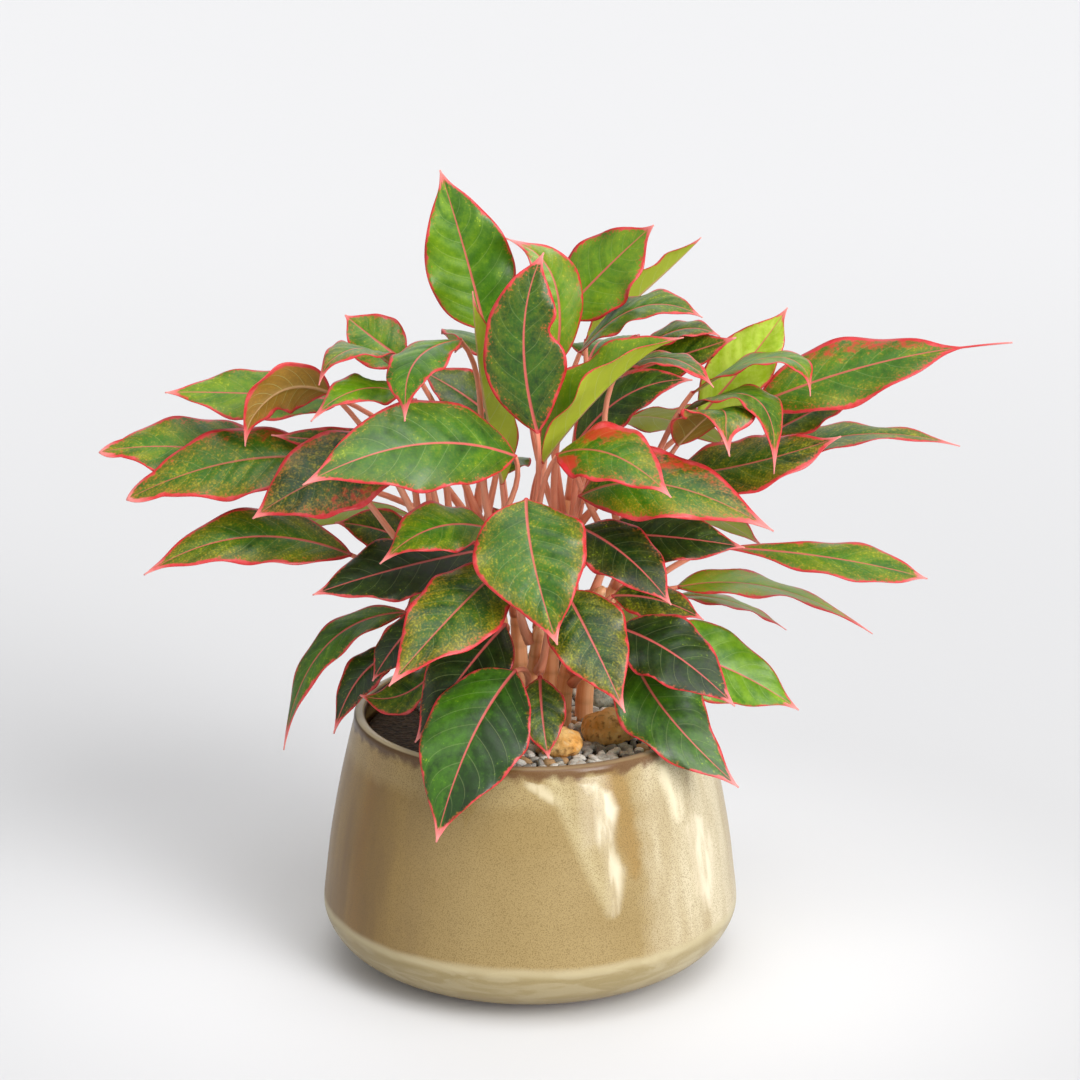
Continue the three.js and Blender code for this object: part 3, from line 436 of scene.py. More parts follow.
chips_material = new_material("dry river gravel", river_chips)
bed = gravel_bed(chips_material)
scatter = bed.modifiers.new("chips", "NODES")
scatter.node_group = scattering(chips_material)
for socket in scatter.node_group.interface.items_tree:
    if socket.name in CHIP_SETTINGS:
        scatter[socket.identifier] = CHIP_SETTINGS[socket.name]
bed.update_tag()
bpy.context.view_layer.update()
chips_mesh = bpy.data.meshes.new_from_object(bed.evaluated_get(bpy.context.evaluated_depsgraph_get()))
bpy.data.objects.remove(bed)
gravel = new_object("gravel_chips", chips_mesh)
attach(gravel, "root")
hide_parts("gravel")

# The stones: four rough ochre river stones, 4 to 5 cm long, and one smooth grey one. They lie half
# sunk in the gravel. STONE_SKIN gives the bumps of their skin as frequency and share of the
# roughness, which is the height of the largest in mm.
STONE_SKIN = [(38, 1), (95, 0.6), (260, 0.32)]
STONE_SWELL = 1.5
OCHRE_ROUGHNESS = 4.2
GREY_ROUGHNESS = 0.8


def river_stone(t, dark, middle, light, grain_scale, roughness):
    """A water-worn stone: a blotched crust with pits and pale grains of 1 to 5 mm."""
    where = add(t, "ShaderNodeTexCoord").outputs["Object"]
    blotch = add(t, "ShaderNodeTexNoise", [where, 62, 5])
    grain = add(t, "ShaderNodeTexNoise", [where, grain_scale, 6])
    colour = layered(t, middle, [
        (blotch, 0.38, 0.6, 1, light, EVEN), (grain, 0.48, 0.74, 0.85, dark, SOFT),
        (grain, 0.42, 0.3, 0.4, "#E9D6AE", EVEN)])
    bump = add(t, "ShaderNodeBump", {"Strength": 0.9, "Distance": 0.002, "Height": grain})
    return {"Base Color": colour, "Roughness": roughness, "Normal": bump}


def worn_stone(node, material, roughness):
    """A finer skin over a stone's solid, knocked and pitted."""
    shape = bmesh.new()
    shape.from_mesh(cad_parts[node].data)
    bmesh.ops.remove_doubles(shape, verts=shape.verts, dist=1e-6)
    bmesh.ops.subdivide_edges(shape, edges=shape.edges, cuts=3, use_grid_fill=True)
    for _ in range(10):
        bmesh.ops.smooth_vert(shape, verts=shape.verts, factor=0.5, use_axis_x=True,
                              use_axis_y=True, use_axis_z=True)
    shape.normal_update()
    for vertex in shape.verts:
        rough = sum(share * noise.noise(vertex.co * scale) for scale, share in STONE_SKIN)
        vertex.co += vertex.normal * (STONE_SWELL + roughness * rough) * MM
    mesh = bpy.data.meshes.new("worn_" + node)
    shape.to_mesh(mesh)
    shape.free()
    mesh.materials.append(material)
    return new_object("worn_" + node, mesh)


ochre = new_material("ochre river stone", river_stone, "#7C4715", "#E2A04A", "#F8CB80", 210, 0.8)
grey = new_material("grey river stone", river_stone, "#565A50", "#84897A", "#A9AE9E", 340, 0.6)
for node in sorted(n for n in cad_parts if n.startswith("stone_")):
    is_grey = node == "stone_grey"
    stone = worn_stone(node, grey if is_grey else ochre, GREY_ROUGHNESS if is_grey else OCHRE_ROUGHNESS)
    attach(stone, "root")
    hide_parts(node)

# The canes: fleshy salmon-pink stems, each grown from the soil, with the scars of shed leaves round
# them. The leaves of a leafy cane are joined to its piece. All sizes here are in millimetres.
CANE_ROOT = 148.0
CANE_FOOT = SOIL_TOP + 5.7
CANE_FOOT_RADIUS = 7.5
CANE_HEAD_RADIUS = 5.2
CANE_SIDES = 24
CANE_STEPS = 60
# Leaf scars every 23 mm: low rings that stand out by a twenty-fifth of the cane.
SCAR_START, SCAR_SPACING, SCAR_WIDTH, SCAR_SWELL = 16, 23, 2.6, 0.04
CANE_TIP = 0.96
CANES = {
    "middle": ((-8, 12), (-14, -2, 352)),
    "front": ((2, -20), (8, -44, 292)),
    "front_left": ((-30, -12), (-62, -34, 318)),
    "front_right": ((26, 2), (58, -26, 318)),
    "left": ((-36, 20), (-92, 22, 352)),
    "right": ((44, 22), (98, 26, 352)),
    "back_left": ((-20, 42), (-44, 74, 352)),
    "back_right": ((16, 40), (34, 72, 372)),
}


def quadratic(points, t):
    """Points and unit tangents at the shares t of a curve with three control points."""
    a, b, c = (np.asarray(p, float) for p in points)
    t = np.asarray(t, float)[:, None]
    spots = (1 - t)**2 * a + 2 * t * (1 - t) * b + t**2 * c
    ways = 2 * (1 - t) * (b - a) + 2 * t * (c - b)
    return spots, ways / np.linalg.norm(ways, axis=1)[:, None]


def cane_curve(cane):
    (x, y), head = CANES[cane]
    return (x, y, CANE_FOOT), (x, y, (CANE_FOOT + head[2]) / 2), head


def cane_radius(share):
    return CANE_FOOT_RADIUS + (CANE_HEAD_RADIUS - CANE_FOOT_RADIUS) * share


def skin(rings):
    """Faces over rings of equal length, closed at both ends."""
    count, size = len(rings), len(rings[0])
    faces = []
    for i in range(count - 1):
        for j in range(size):
            k = (j + 1) % size
            faces.append((i * size + j, i * size + k, (i + 1) * size + k, (i + 1) * size + j))
    faces.append(tuple(reversed(range(size))))
    faces.append(tuple(range((count - 1) * size, count * size)))
    return faces


# What a piece of the plant carries at each of its points, besides its place: how far the point is
# from the blade's edge and from its midrib in mm, its share of the length, the lateral vein it is
# nearest to, its place in the blade's own grain, and the leaf's shade, flecks and blush. On some
# leaves the shade is lighter on one half, a painted sheen.
MARKS = ("edge_mm", "rib_mm", "share", "vein", "shade", "flecks", "blush")
# The materials of a piece of the plant, in their order.
UPPER_SLOT, UNDER_SLOT, STALK_SLOT, CANE_SLOT = range(4)


def cane_body(cane):
    """A cane as a closed tube, with a low ring at each leaf scar."""
    (x, y), _ = CANES[cane]
    shares = np.linspace(0, 1, CANE_STEPS)
    spots, ways = quadratic(cane_curve(cane), shares)
    spots = np.vstack([[[x, y, CANE_ROOT]], spots])
    ways = np.vstack([[[0, 0, 1]], ways])
    shares = np.concatenate([[0], shares])
    length = np.linalg.norm(np.diff(spots, axis=0), axis=1).sum()
    scars = np.arange(SCAR_START, length - 6, SCAR_SPACING) / length
    swell = np.array([
        np.exp(-((scars - s) * length / SCAR_WIDTH)**2).max(initial=0) for s in shares])
    radii = cane_radius(shares) * (1 + SCAR_SWELL * swell)
    radii *= 1 - 0.5 * np.maximum(shares - CANE_TIP, 0) / (1 - CANE_TIP)
    first = np.array([1.0, 0, 0]) - ways * ways[:, :1]
    first /= np.linalg.norm(first, axis=1)[:, None]
    second = np.cross(ways, first)
    turns = 2 * math.pi * np.arange(CANE_SIDES) / CANE_SIDES
    rings = [spot + radii[i] * (np.cos(turns)[:, None] * first[i] + np.sin(turns)[:, None] * second[i])
             for i, spot in enumerate(spots)]
    marks = {name: np.zeros(len(rings) * CANE_SIDES) for name in MARKS}
    marks["share"] = np.repeat(swell, CANE_SIDES)
    marks["shade"] += 0.1
    grain = np.vstack([rings[i] - spot + (0, 0, 0.06 * i) for i, spot in enumerate(spots)])
    faces = skin(rings)
    return np.vstack(rings), faces, [CANE_SLOT] * len(faces), marks, grain


# The leaves: pointed blades up to 20 cm long on grooved pink stalks, each one grown from its cane,
# with a waved edge, a stout midrib below and arched side veins. Most are widest at PLAIN_BELLY, a
# share of their length.
PLAIN_BELLY = 0.41


def plan(name, cane, at, base, mid, tip, width, face, look, fold=8, belly=PLAIN_BELLY, tail=0,
         blunt=0, turn=0, bow=(0, 0, 0), hook=(0, 0, 0), waists=(), patches=(), grown=False):
    """One leaf's plan. at is how far up its cane the stalk starts, as a share. base, mid and tip are
    places of the midrib, as (across, up, depth). face is where the upper side looks, as (right, up,
    towards the eye). look is its shade from deep green to lime, how much lighter its right half is,
    how flecked it is with yellow and how flushed with red; on some leaves the lighter half is a
    painted sheen. fold is in degrees. tail is the share that a thin tip takes up, and blunt how wide
    a blunt end is. turn moves the stalk's start round the cane, in degrees, bow pushes its middle
    aside and hook the blade's tip, as (right, up, nearer).
    waists are places where a half is drawn in, as side, share, depth and reach, and patches are
    solid red, as side, share, reach and strength. A grown leaf is joined to its cane's piece."""
    return SimpleNamespace(**locals())


LEAVES = [
    # top_1's left half is lighter than its right: a painted sheen.
    plan("top_1", "middle", 0.92, (-36, 168, 15), (-52, 230, 10), (-72, 296, 0), 72, (0.1, 0.1, 1),
         (0.48, -0.07, 0.05, 0.4), fold=14),
    plan("top_2", "middle", 0.75, (6, 86, -70), (-5, 165, -82), (11, 230, -70), 62, (0, 0, 1),
         (0.3, 0, 0.2, 0.7), fold=5, waists=((1, 0.52, 0.36, 0.085), (1, 0.27, -0.1, 0.12))),
    plan("top_3", "middle", 0.85, (20, 140, 2), (20, 205, 2), (-10, 238, 0), 42, (0.2, 0, 1),
         (0.6, 0, 0.35, 0.45), hook=(-9, 3, 4)),
    plan("top_4", "back_right", 0.84, (24, 178, 34), (62, 218, 32), (99, 252, 24), 66, (-0.3, 0.3, 0.9),
         (0.55, 0, 0.15, 0.75)),
    plan("top_5", "back_right", 0.92, (45, 160, 66), (98, 205, 68), (137, 242, 64), 42,
         (-0.5, 0.75, -0.4), (0.5, 0, 0.1, 0.25), fold=40, turn=60, bow=(12, 0, 10),
         waists=((1, 0.62, 0.3, 0.1),)),
    plan("top_6", "back_right", 0.7, (40, 150, 18), (88, 186, 2), (138, 178, -20), 50, (0, 0.8, 0.6),
         (0.4, 0, 0.3, 0.35), fold=10, turn=-20),
    plan("top_7", "middle", 0.6, (-22, 45, -26), (-38, 120, -44), (-46, 199, -56), 52, (0.7, 0, -0.7),
         (0.85, 0, 0.05, 0.15), fold=60),
    plan("centre_1", "middle", 0.88, (10, 62, -50), (64, 124, -58), (117, 163, -58), 74,
         (-0.6, 0.68, 0.42), (0.68, 0.12, 0.25, 0.35), fold=55, turn=15, hook=(6, -1, 0)),
    plan("centre_2", "front", 0.92, (22, 68, -82), (66, 68, -112), (113, 34, -140), 62, (0, 0.6, 0.8),
         (0.42, 0, 0.5, 0.95), patches=((1, 0.16, 0.12, 1.5), (-1, 0.3, 0.16, 1.2))),
    plan("right_1", "back_right", 0.8, (135, 98, 34), (176, 145, 38), (204, 183, 44), 54,
         (-0.3, 0.2, 0.9), (0.93, 0, 0.1, 0.25), fold=15, hook=(2, 3, 0), waists=((-1, 0.8, 0.1, 0.1),)),
    plan("right_2", "right", 0.92, (130, 118, 4), (196, 146, -18), (226, 121, -40), 50, (0, 0.95, 0.35),
         (0.48, 0, 0.2, 0.55), fold=10, hook=(-2, -6, 4), waists=((-1, 0.55, 0.25, 0.1),)),
    plan("right_3", "right", 0.8, (180, 108, 14), (281, 142, 8), (386, 158, 0), 64, (0, 0.55, 0.8),
         (0.44, 0, 0.42, 0.9), tail=0.18, patches=((-1, 0.45, 0.4, 0.58),)),
    plan("right_4", "back_right", 0.65, (190, 62, 60), (262, 84, 60), (344, 75, 56), 45, (0, 0.8, 0.45),
         (0.42, 0, 0.5, 0.4), fold=14, belly=0.36, grown=True,
         waists=((-1, 0.62, 0.3, 0.12), (1, 0.7, 0.25, 0.12))),
    plan("right_5", "right", 0.7, (110, 50, -18), (180, 62, -24), (249, 83, -26), 64, (0, 0.7, 0.7),
         (0.26, 0, 0.5, 0.85), fold=6),
    plan("right_6", "right", 0.85, (120, 100, -20), (178, 114, -56), (196, 60, -80), 50, (0.3, 0.8, 0.5),
         (0.38, 0, 0.25, 0.6), fold=10, hook=(-1, -7, 3), waists=((1, 0.45, 0.2, 0.1),)),
    plan("right_7", "front_right", 0.86, (118, 76, -34), (152, 104, -66), (153, 77, -92), 74,
         (0, 0.95, 0.3), (0.36, 0, 0.5, 0.95), turn=20, hook=(6, -10, 6),
         waists=((1, 0.35, 0.25, 0.1), (-1, 0.6, 0.2, 0.1))),
    plan("right_8", "right", 0.8, (70, 135, -28), (112, 145, -50), (147, 122, -72), 38, (0, 0.9, 0.35),
         (0.3, 0, 0.2, 0.8), turn=-30, bow=(0, 0, -10)),
    plan("right_9", "right", 0.75, (36, 75, 8), (78, 116, 12), (130, 128, 8), 45, (-0.3, 0.5, 0.8),
         (0.24, 0, 0.1, 0.4), fold=10),
    plan("right_10", "right", 0.6, (150, -6, 10), (238, -14, 5), (318, -31, 0), 46, (0, 0.7, 0.65),
         (0.48, 0, 0.4, 0.5), belly=0.6, waists=((-1, 0.32, 0.25, 0.12),)),
    plan("right_11", "back_right", 0.45, (118, -38, 44), (196, -39, 50), (274, -75, 60), 48,
         (0, 0.9, 0.4), (0.7, 0, 0.5, 0.8), fold=10, belly=0.3, grown=True,
         waists=((1, 0.55, 0.2, 0.1),)),
    plan("right_12", "back_right", 0.3, (115, -45, 74), (162, -50, 82), (205, -72, 90), 34, (0, 0.9, 0.3),
         (0.7, 0, 0.5, 0.9), grown=True),
    plan("front_1", "front_right", 0.7, (40, 35, -60), (108, 44, -82), (195, 7, -100), 66, (0, 0.5, 0.85),
         (0.38, 0.08, 0.6, 0.95), bow=(8, 0, 4), patches=((-1, 0.4, 0.4, 0.6),)),
    plan("front_2", "front_left", 0.92, (-12, 67, -64), (-92, 76, -105), (-182, 44, -138), 78,
         (0, 0.35, 0.93), (0.38, 0, 0.2, 0.55)),
    plan("front_3", "front", 0.85, (-3, 32, -98), (3, -18, -128), (22, -84, -150), 88, (0, 0.25, 0.97),
         (0.37, 0, 0.5, 0.65), waists=((1, 0.78, 0.15, 0.1),)),
    plan("front_4", "front", 0.6, (28, -40, -90), (50, -82, -122), (74, -133, -150), 62, (0.1, 0.3, 0.95),
         (0.24, 0, 0.5, 0.45), hook=(2, -5, 0)),
    plan("front_5", "front", 0.8, (40, 10, -60), (78, -14, -90), (113, -52, -118), 55, (0.2, 0.4, 0.85),
         (0.12, 0, 0.15, 0.45)),
    plan("front_6", "front_right", 0.55, (60, 5, -30), (115, 2, -38), (172, -6, -44), 50, (0, 0.5, 0.8),
         (0.16, 0, 0.1, 0.2)),
    plan("front_7", "front_left", 0.6, (-22, -22, -76), (-62, -60, -122), (-113, -117, -168), 70,
         (-0.2, 0.35, 0.9), (0.3, 0, 0.6, 0.7), waists=((-1, 0.75, 0.12, 0.1),)),
    plan("front_8", "front_left", 0.85, (-30, 8, -60), (-75, 10, -86), (-116, -16, -110), 52,
         (0, 0.6, 0.8), (0.43, 0, 0.35, 0.5), hook=(-4, -3, 0)),
    plan("front_9", "front_left", 0.7, (-38, -8, -20), (-110, -24, -42), (-174, -44, -60), 62,
         (0, 0.6, 0.75), (0.1, 0, 0.05, 0.2)),
    # low_1's left half is lighter than its right: a painted sheen.
    plan("low_1", "front", 0.35, (-12, -105, -95), (-48, -162, -138), (-75, -242, -172), 82,
         (-0.1, 0.4, 0.9), (0.26, 0.08, 0, 0.25)),
    plan("low_2", "front", 0.25, (8, -110, -84), (10, -142, -108), (15, -175, -126), 38, (0, 0.4, 0.9),
         (0.26, 0, 0.3, 0.4), turn=20),
    plan("low_3", "front_left", 0.4, (-20, -68, -60), (-54, -108, -92), (-92, -162, -120), 62,
         (-0.1, 0.4, 0.9), (0.07, 0, 0.05, 0.2)),
    plan("low_4", "front_right", 0.4, (70, -70, -70), (116, -92, -100), (164, -133, -128), 62,
         (0.1, 0.5, 0.85), (0.13, 0, 0.05, 0.3)),
    plan("low_5", "front_right", 0.5, (66, -45, -38), (102, -48, -44), (139, -64, -54), 40, (0, 0.6, 0.7),
         (0.2, 0, 0.4, 0.4)),
    plan("low_6", "right", 0.3, (95, -85, 20), (156, -102, 32), (215, -136, 40), 66, (0.1, 0.4, 0.9),
         (0.56, 0, 0, 0.1)),
    plan("low_7", "front_right", 0.3, (85, -98, -62), (112, -142, -90), (167, -198, -112), 72,
         (0.2, 0.4, 0.9), (0.3, 0, 0.05, 0.3), waists=((-1, 0.72, 0.22, 0.1),)),
    plan("left_1", "left", 0.85, (-100, 70, -20), (-165, 50, -42), (-222, 17, -60), 76,
         (-0.1, 0.45, 0.88), (0.24, 0, 0.65, 0.95), turn=25, patches=((-1, 0.4, 0.3, 0.5),)),
    plan("left_2", "left", 0.6, (-143, -12, 0), (-228, 2, -15), (-309, -28, -30), 58, (0, 0.6, 0.8),
         (0.34, 0, 0.45, 0.65), waists=((-1, 0.6, 0.16, 0.12),)),
    plan("left_3", "back_left", 0.8, (-190, 60, 22), (-275, 74, 26), (-345, 70, 30), 70, (0, 0.65, 0.75),
         (0.44, 0, 0.45, 0.85), blunt=0.3, waists=((1, 0.78, -0.12, 0.1), (-1, 0.8, 0.16, 0.1))),
    plan("left_4", "left", 0.75, (-170, 65, 0), (-245, 61, -5), (-323, 32, -10), 66, (0, 0.5, 0.85),
         (0.38, 0, 0.62, 0.9), blunt=0.38, waists=((1, 0.8, -0.15, 0.12),),
         patches=((1, 0.3, 0.3, 0.5),)),
    plan("left_5", "back_left", 0.92, (-150, 112, 12), (-225, 117, 16), (-292, 118, 20), 56,
         (0, 0.65, 0.75), (0.52, 0, 0.25, 0.35)),
    plan("left_6", "left", 0.92, (-160, 118, 0), (-202, 118, -18), (-232, 79, -30), 46,
         (-0.1, 0.6, -0.75), (0.35, 0, 0.6, 1), fold=10, hook=(4, -4, 0), waists=((1, 0.6, 0.2, 0.1),)),
    plan("left_7", "left", 0.92, (-104, 135, -12), (-138, 153, -40), (-172, 129, -68), 46, (0, 0.95, 0.3),
         (0.42, 0, 0.4, 0.7), turn=45, hook=(3, -5, 0)),
    plan("left_8", "back_left", 0.96, (-100, 143, 26), (-126, 162, 32), (-148, 180, 40), 46,
         (0, 0.2, 0.95), (0.5, 0, 0.4, 0.7), grown=True),
    plan("left_9", "middle", 0.92, (-56, 160, -34), (-92, 142, -84), (-98, 100, -118), 50,
         (-0.2, 0.75, 0.6), (0.44, 0, 0.08, 0.6), hook=(-2, -5, 4), waists=((1, 0.55, 0.15, 0.1),)),
    plan("left_10", "left", 0.78, (-92, 112, -34), (-132, 121, -62), (-172, 100, -92), 48, (0, 0.8, 0.55),
         (0.5, 0, 0.1, 0.5), turn=60, hook=(-3, -5, 3), waists=((-1, 0.7, 0.2, 0.1),)),
    plan("left_11", "left", 0.5, (-97, -58, 0), (-164, -86, -10), (-197, -168, -20), 40, (-0.5, 0.5, 0.6),
         (0.36, 0, 0.1, 0.3), waists=((1, 0.5, 0.15, 0.12),)),
    plan("left_12", "left", 0.3, (-105, -90, -10), (-136, -110, -20), (-157, -155, -30), 34,
         (-0.2, 0.5, 0.8), (0.15, 0, 0.05, 0.3), grown=True),
    plan("left_13", "left", 0.35, (-85, -60, -24), (-108, -85, -34), (-126, -113, -44), 34,
         (-0.2, 0.5, 0.8), (0.12, 0, 0.05, 0.2), grown=True),
]

# Leaves that show only in part behind the others, with how far each stalk's start is turned.
HALF_HIDDEN_LEAVES = [plan("", *row[:-1], (0.3, 0, 0.3, 0.4), turn=row[-1], grown=True) for row in (
    ("left", 0.97, (-112, 80, 14), (-160, 80, 2), (-207, 84, -4), 22, (0, 0.1, 1), 0),
    ("left", 0.2, (-70, -98, -50), (-102, -124, -46), (-136, -124, -36), 42, (0, 0.7, 0.7), 0),
    ("back_left", 0.5, (-88, -6, 34), (-120, 8, 34), (-156, 14, 36), 40, (0, 0.4, 0.9), 0),
    ("back_left", 0.85, (-30, 98, 38), (-56, 118, 36), (-88, 136, 34), 44, (0, 0.4, 0.9), 0),
    ("back_right", 0.6, (190, 84, 54), (232, 106, 52), (268, 125, 50), 38, (0, 0.7, 0.7), 0),
    ("back_right", 0.7, (85, 148, 44), (120, 168, 38), (152, 163, 28), 36, (0, 0.8, 0.5), -20),
    ("back_right", 0.55, (66, 130, 42), (116, 146, 32), (165, 162, 20), 40, (0, 0.4, 0.9), 0),
)]

# Leaves of the far side, whose upper sides look up and a little away.
BACK_LEAVES = [plan("", *row, (0, 0.96, -0.28), (0.42, 0, 0.3, 0.4), grown=True) for row in (
    ("back_right", 0.8, (0, 105, 92), (10, 118, 135), (25, 85, 190), 70),
    ("back_left", 0.9, (-62, 80, 92), (-105, 88, 122), (-160, 60, 165), 66),
    ("back_right", 0.7, (60, 90, 90), (105, 98, 122), (165, 70, 160), 66),
    ("back_left", 1, (-30, 145, 70), (-45, 165, 100), (-60, 150, 150), 60),
    ("back_right", 0.95, (48, 145, 88), (62, 160, 118), (80, 138, 160), 60),
    ("back_left", 0.7, (-90, 18, 84), (-145, 24, 112), (-200, 0, 140), 62),
    ("back_right", 0.5, (86, 20, 92), (136, 22, 122), (186, -5, 150), 62),
    ("back_right", 0.35, (4, 12, 100), (2, 18, 150), (-5, -20, 200), 72),
    ("back_left", 0.4, (-46, -45, 90), (-72, -50, 128), (-100, -88, 165), 60),
    ("back_right", 0.25, (50, -45, 92), (74, -50, 130), (100, -90, 170), 60),
    ("back_left", 0.6, (-22, 52, 90), (-34, 68, 132), (-55, 45, 185), 66),
)]

# The line of sight along which the leaves were read: an eye that looks down at SIGHT_AIM.
SIGHT_PITCH = math.radians(16.5)
SIGHT_DISTANCE = 2600.0
SIGHT_AIM = np.array([8.0, 0, 350])
SIGHT_AHEAD = np.array([0, math.cos(SIGHT_PITCH), -math.sin(SIGHT_PITCH)])
SIGHT_UP = np.array([0, math.sin(SIGHT_PITCH), math.cos(SIGHT_PITCH)])

STALK_FOOT_RADIUS = 3.2
STALK_HEAD_RADIUS = 1.9
STALK_LEAN = math.radians(30)
STALK_STEPS = 14
# The sheath at a stalk's foot: how much thicker it is and how far it reaches, as shares.
SHEATH_SWELL, SHEATH_REACH = 0.5, 0.1
# How far from its cane's skin a stalk starts, in mm: inside it where the leaf is joined to it.
GROWN_STAND, SEATED_STAND = -5.0, 1.0
ACROSS = np.array([0, 0.035, 0.08, 0.16, 0.28, 0.42, 0.56, 0.7, 0.82, 0.92, 1])
ACROSS = np.concatenate([-ACROSS[:0:-1], ACROSS])
FRONT_STATIONS = 60
BACK_STATIONS = 30
VEIN_PAIRS = 9
HOOK_START = 0.82
# What the outline's curve comes to where it is widest.
OUTLINE_PEAK = 0.274
# The height of the blade's waves, its edge's ripples and its droop, as shares of a half's width,
# and how many half waves there are; then how the side veins slant and arch, and how far the skin
# between them bulges, in mm, on a half 35 mm wide.
WAVE, WAVES, RIPPLE, RIPPLES, DROOP = 0.07, 3.6, 0.075, 7, 0.14
VEIN_SLANT, VEIN_ARCH, QUILTING, QUILTED_HALF = 0.15, 0.1, 0.5, 35
# The midrib's groove above and rib below, and the half thickness of the blade, in mm.
GROOVE_DEPTH, GROOVE_WIDTH, RIB_DEPTH, RIB_WIDTH = 0.4, 1.1, 1.2, 1.5
BLADE_THICKNESS, EDGE_THINNING = 0.4, 0.12


def sighted(reading):
    across, up, depth = reading
    eye = SIGHT_AIM - SIGHT_AHEAD * SIGHT_DISTANCE
    ray = SIGHT_AHEAD * SIGHT_DISTANCE + np.array([across - SIGHT_AIM[0], 0, 0]) + SIGHT_UP * up
    return eye + ray * (depth - eye[1]) / ray[1]


def unit(way):
    return way / np.linalg.norm(way)


def across_frame(ways, sideways):
    """For each tangent, the way across the leaf and the way out of its upper side."""
    side = sideways - ways * (ways @ sideways)[:, None]
    side /= np.linalg.norm(side, axis=1)[:, None]
    return side, np.cross(side, ways)


def outline(leaf, shares):
    """The share of its full width that a blade has at each share of its length."""
    reach = np.minimum(1, shares / (1 - leaf.tail))
    place = reach ** (math.log(PLAIN_BELLY) / math.log(leaf.belly))
    drawn_out = 1 - 0.22 * np.exp(-((place - 0.93) / 0.07)**2)
    pointed = place**0.78 * (1 - place)**1.12 * (1 - 0.3 * place**6) / OUTLINE_PEAK * drawn_out
    return np.maximum(pointed, leaf.blunt * np.where(place > 0.5, 1 - place**20, 0))


def half_width(leaf, shares, side, jitter):
    """The width in mm of one half of a blade at each share, with its edge's own wandering."""
    wander = 0.032 * np.sin(2.7 * math.pi * shares + jitter[0] + 2 * side)
    wander += 0.017 * np.sin(7.1 * math.pi * shares + jitter[1] + side)
    change = 1 + wander * np.sin(math.pi * shares)**0.5
    for waist_side, share, depth, reach in leaf.waists:
        if side == waist_side:
            change *= 1 - depth * np.exp(-((shares - share) / reach)**2)
    return np.maximum(1.6 - shares, leaf.width / 2 * outline(leaf, shares) * change)


def stalk_rings(leaf, midrib, sideways):
    """The stalk leaves the cane steeply in a short sheath and runs on into the midrib."""
    curve = cane_curve(leaf.cane)
    centre, upwards = (v[0] for v in quadratic(curve, [leaf.at]))
    base_spot, base_way = (v[0] for v in quadratic(midrib, [0]))
    outwards = base_spot - centre
    outwards = unit(outwards - upwards * (outwards @ upwards))
    turn = math.radians(leaf.turn)
    outwards = outwards * math.cos(turn) + np.cross(upwards, outwards) * math.sin(turn)
    leave = upwards * math.cos(STALK_LEAN) + outwards * math.sin(STALK_LEAN)
    start = centre + outwards * (cane_radius(leaf.at) + (GROWN_STAND if leaf.grown else SEATED_STAND))
    arrive = unit(base_way + unit(base_spot - start))
    bow = np.array([leaf.bow[0], leaf.bow[2], leaf.bow[1]]) * 4 / 3
    run = np.linalg.norm(base_spot - start) * 0.33
    first, second = start + leave * run + bow, base_spot - arrive * run + bow
    s = np.linspace(0, 1, STALK_STEPS)[:, None]
    spots = ((1 - s)**3 * start + 3 * s * (1 - s)**2 * first + 3 * s**2 * (1 - s) * second
             + s**3 * base_spot)
    ways = (1 - s)**2 * (first - start) + 2 * s * (1 - s) * (second - first) + s**2 * (base_spot - second)
    ways /= np.linalg.norm(ways, axis=1)[:, None]
    side, up = across_frame(ways, sideways)
    size = 2 * len(ACROSS)
    angles = math.pi * (1 - (2 * np.arange(size) + 1) / size)
    radii = STALK_FOOT_RADIUS + (STALK_HEAD_RADIUS - STALK_FOOT_RADIUS) * s[:, 0]
    radii = radii * (1 + SHEATH_SWELL * np.exp(-s[:, 0] / SHEATH_REACH))
    return [spot + radii[i] * (np.cos(angles)[:, None] * side[i] + np.sin(angles)[:, None] * up[i])
            for i, spot in enumerate(spots)]


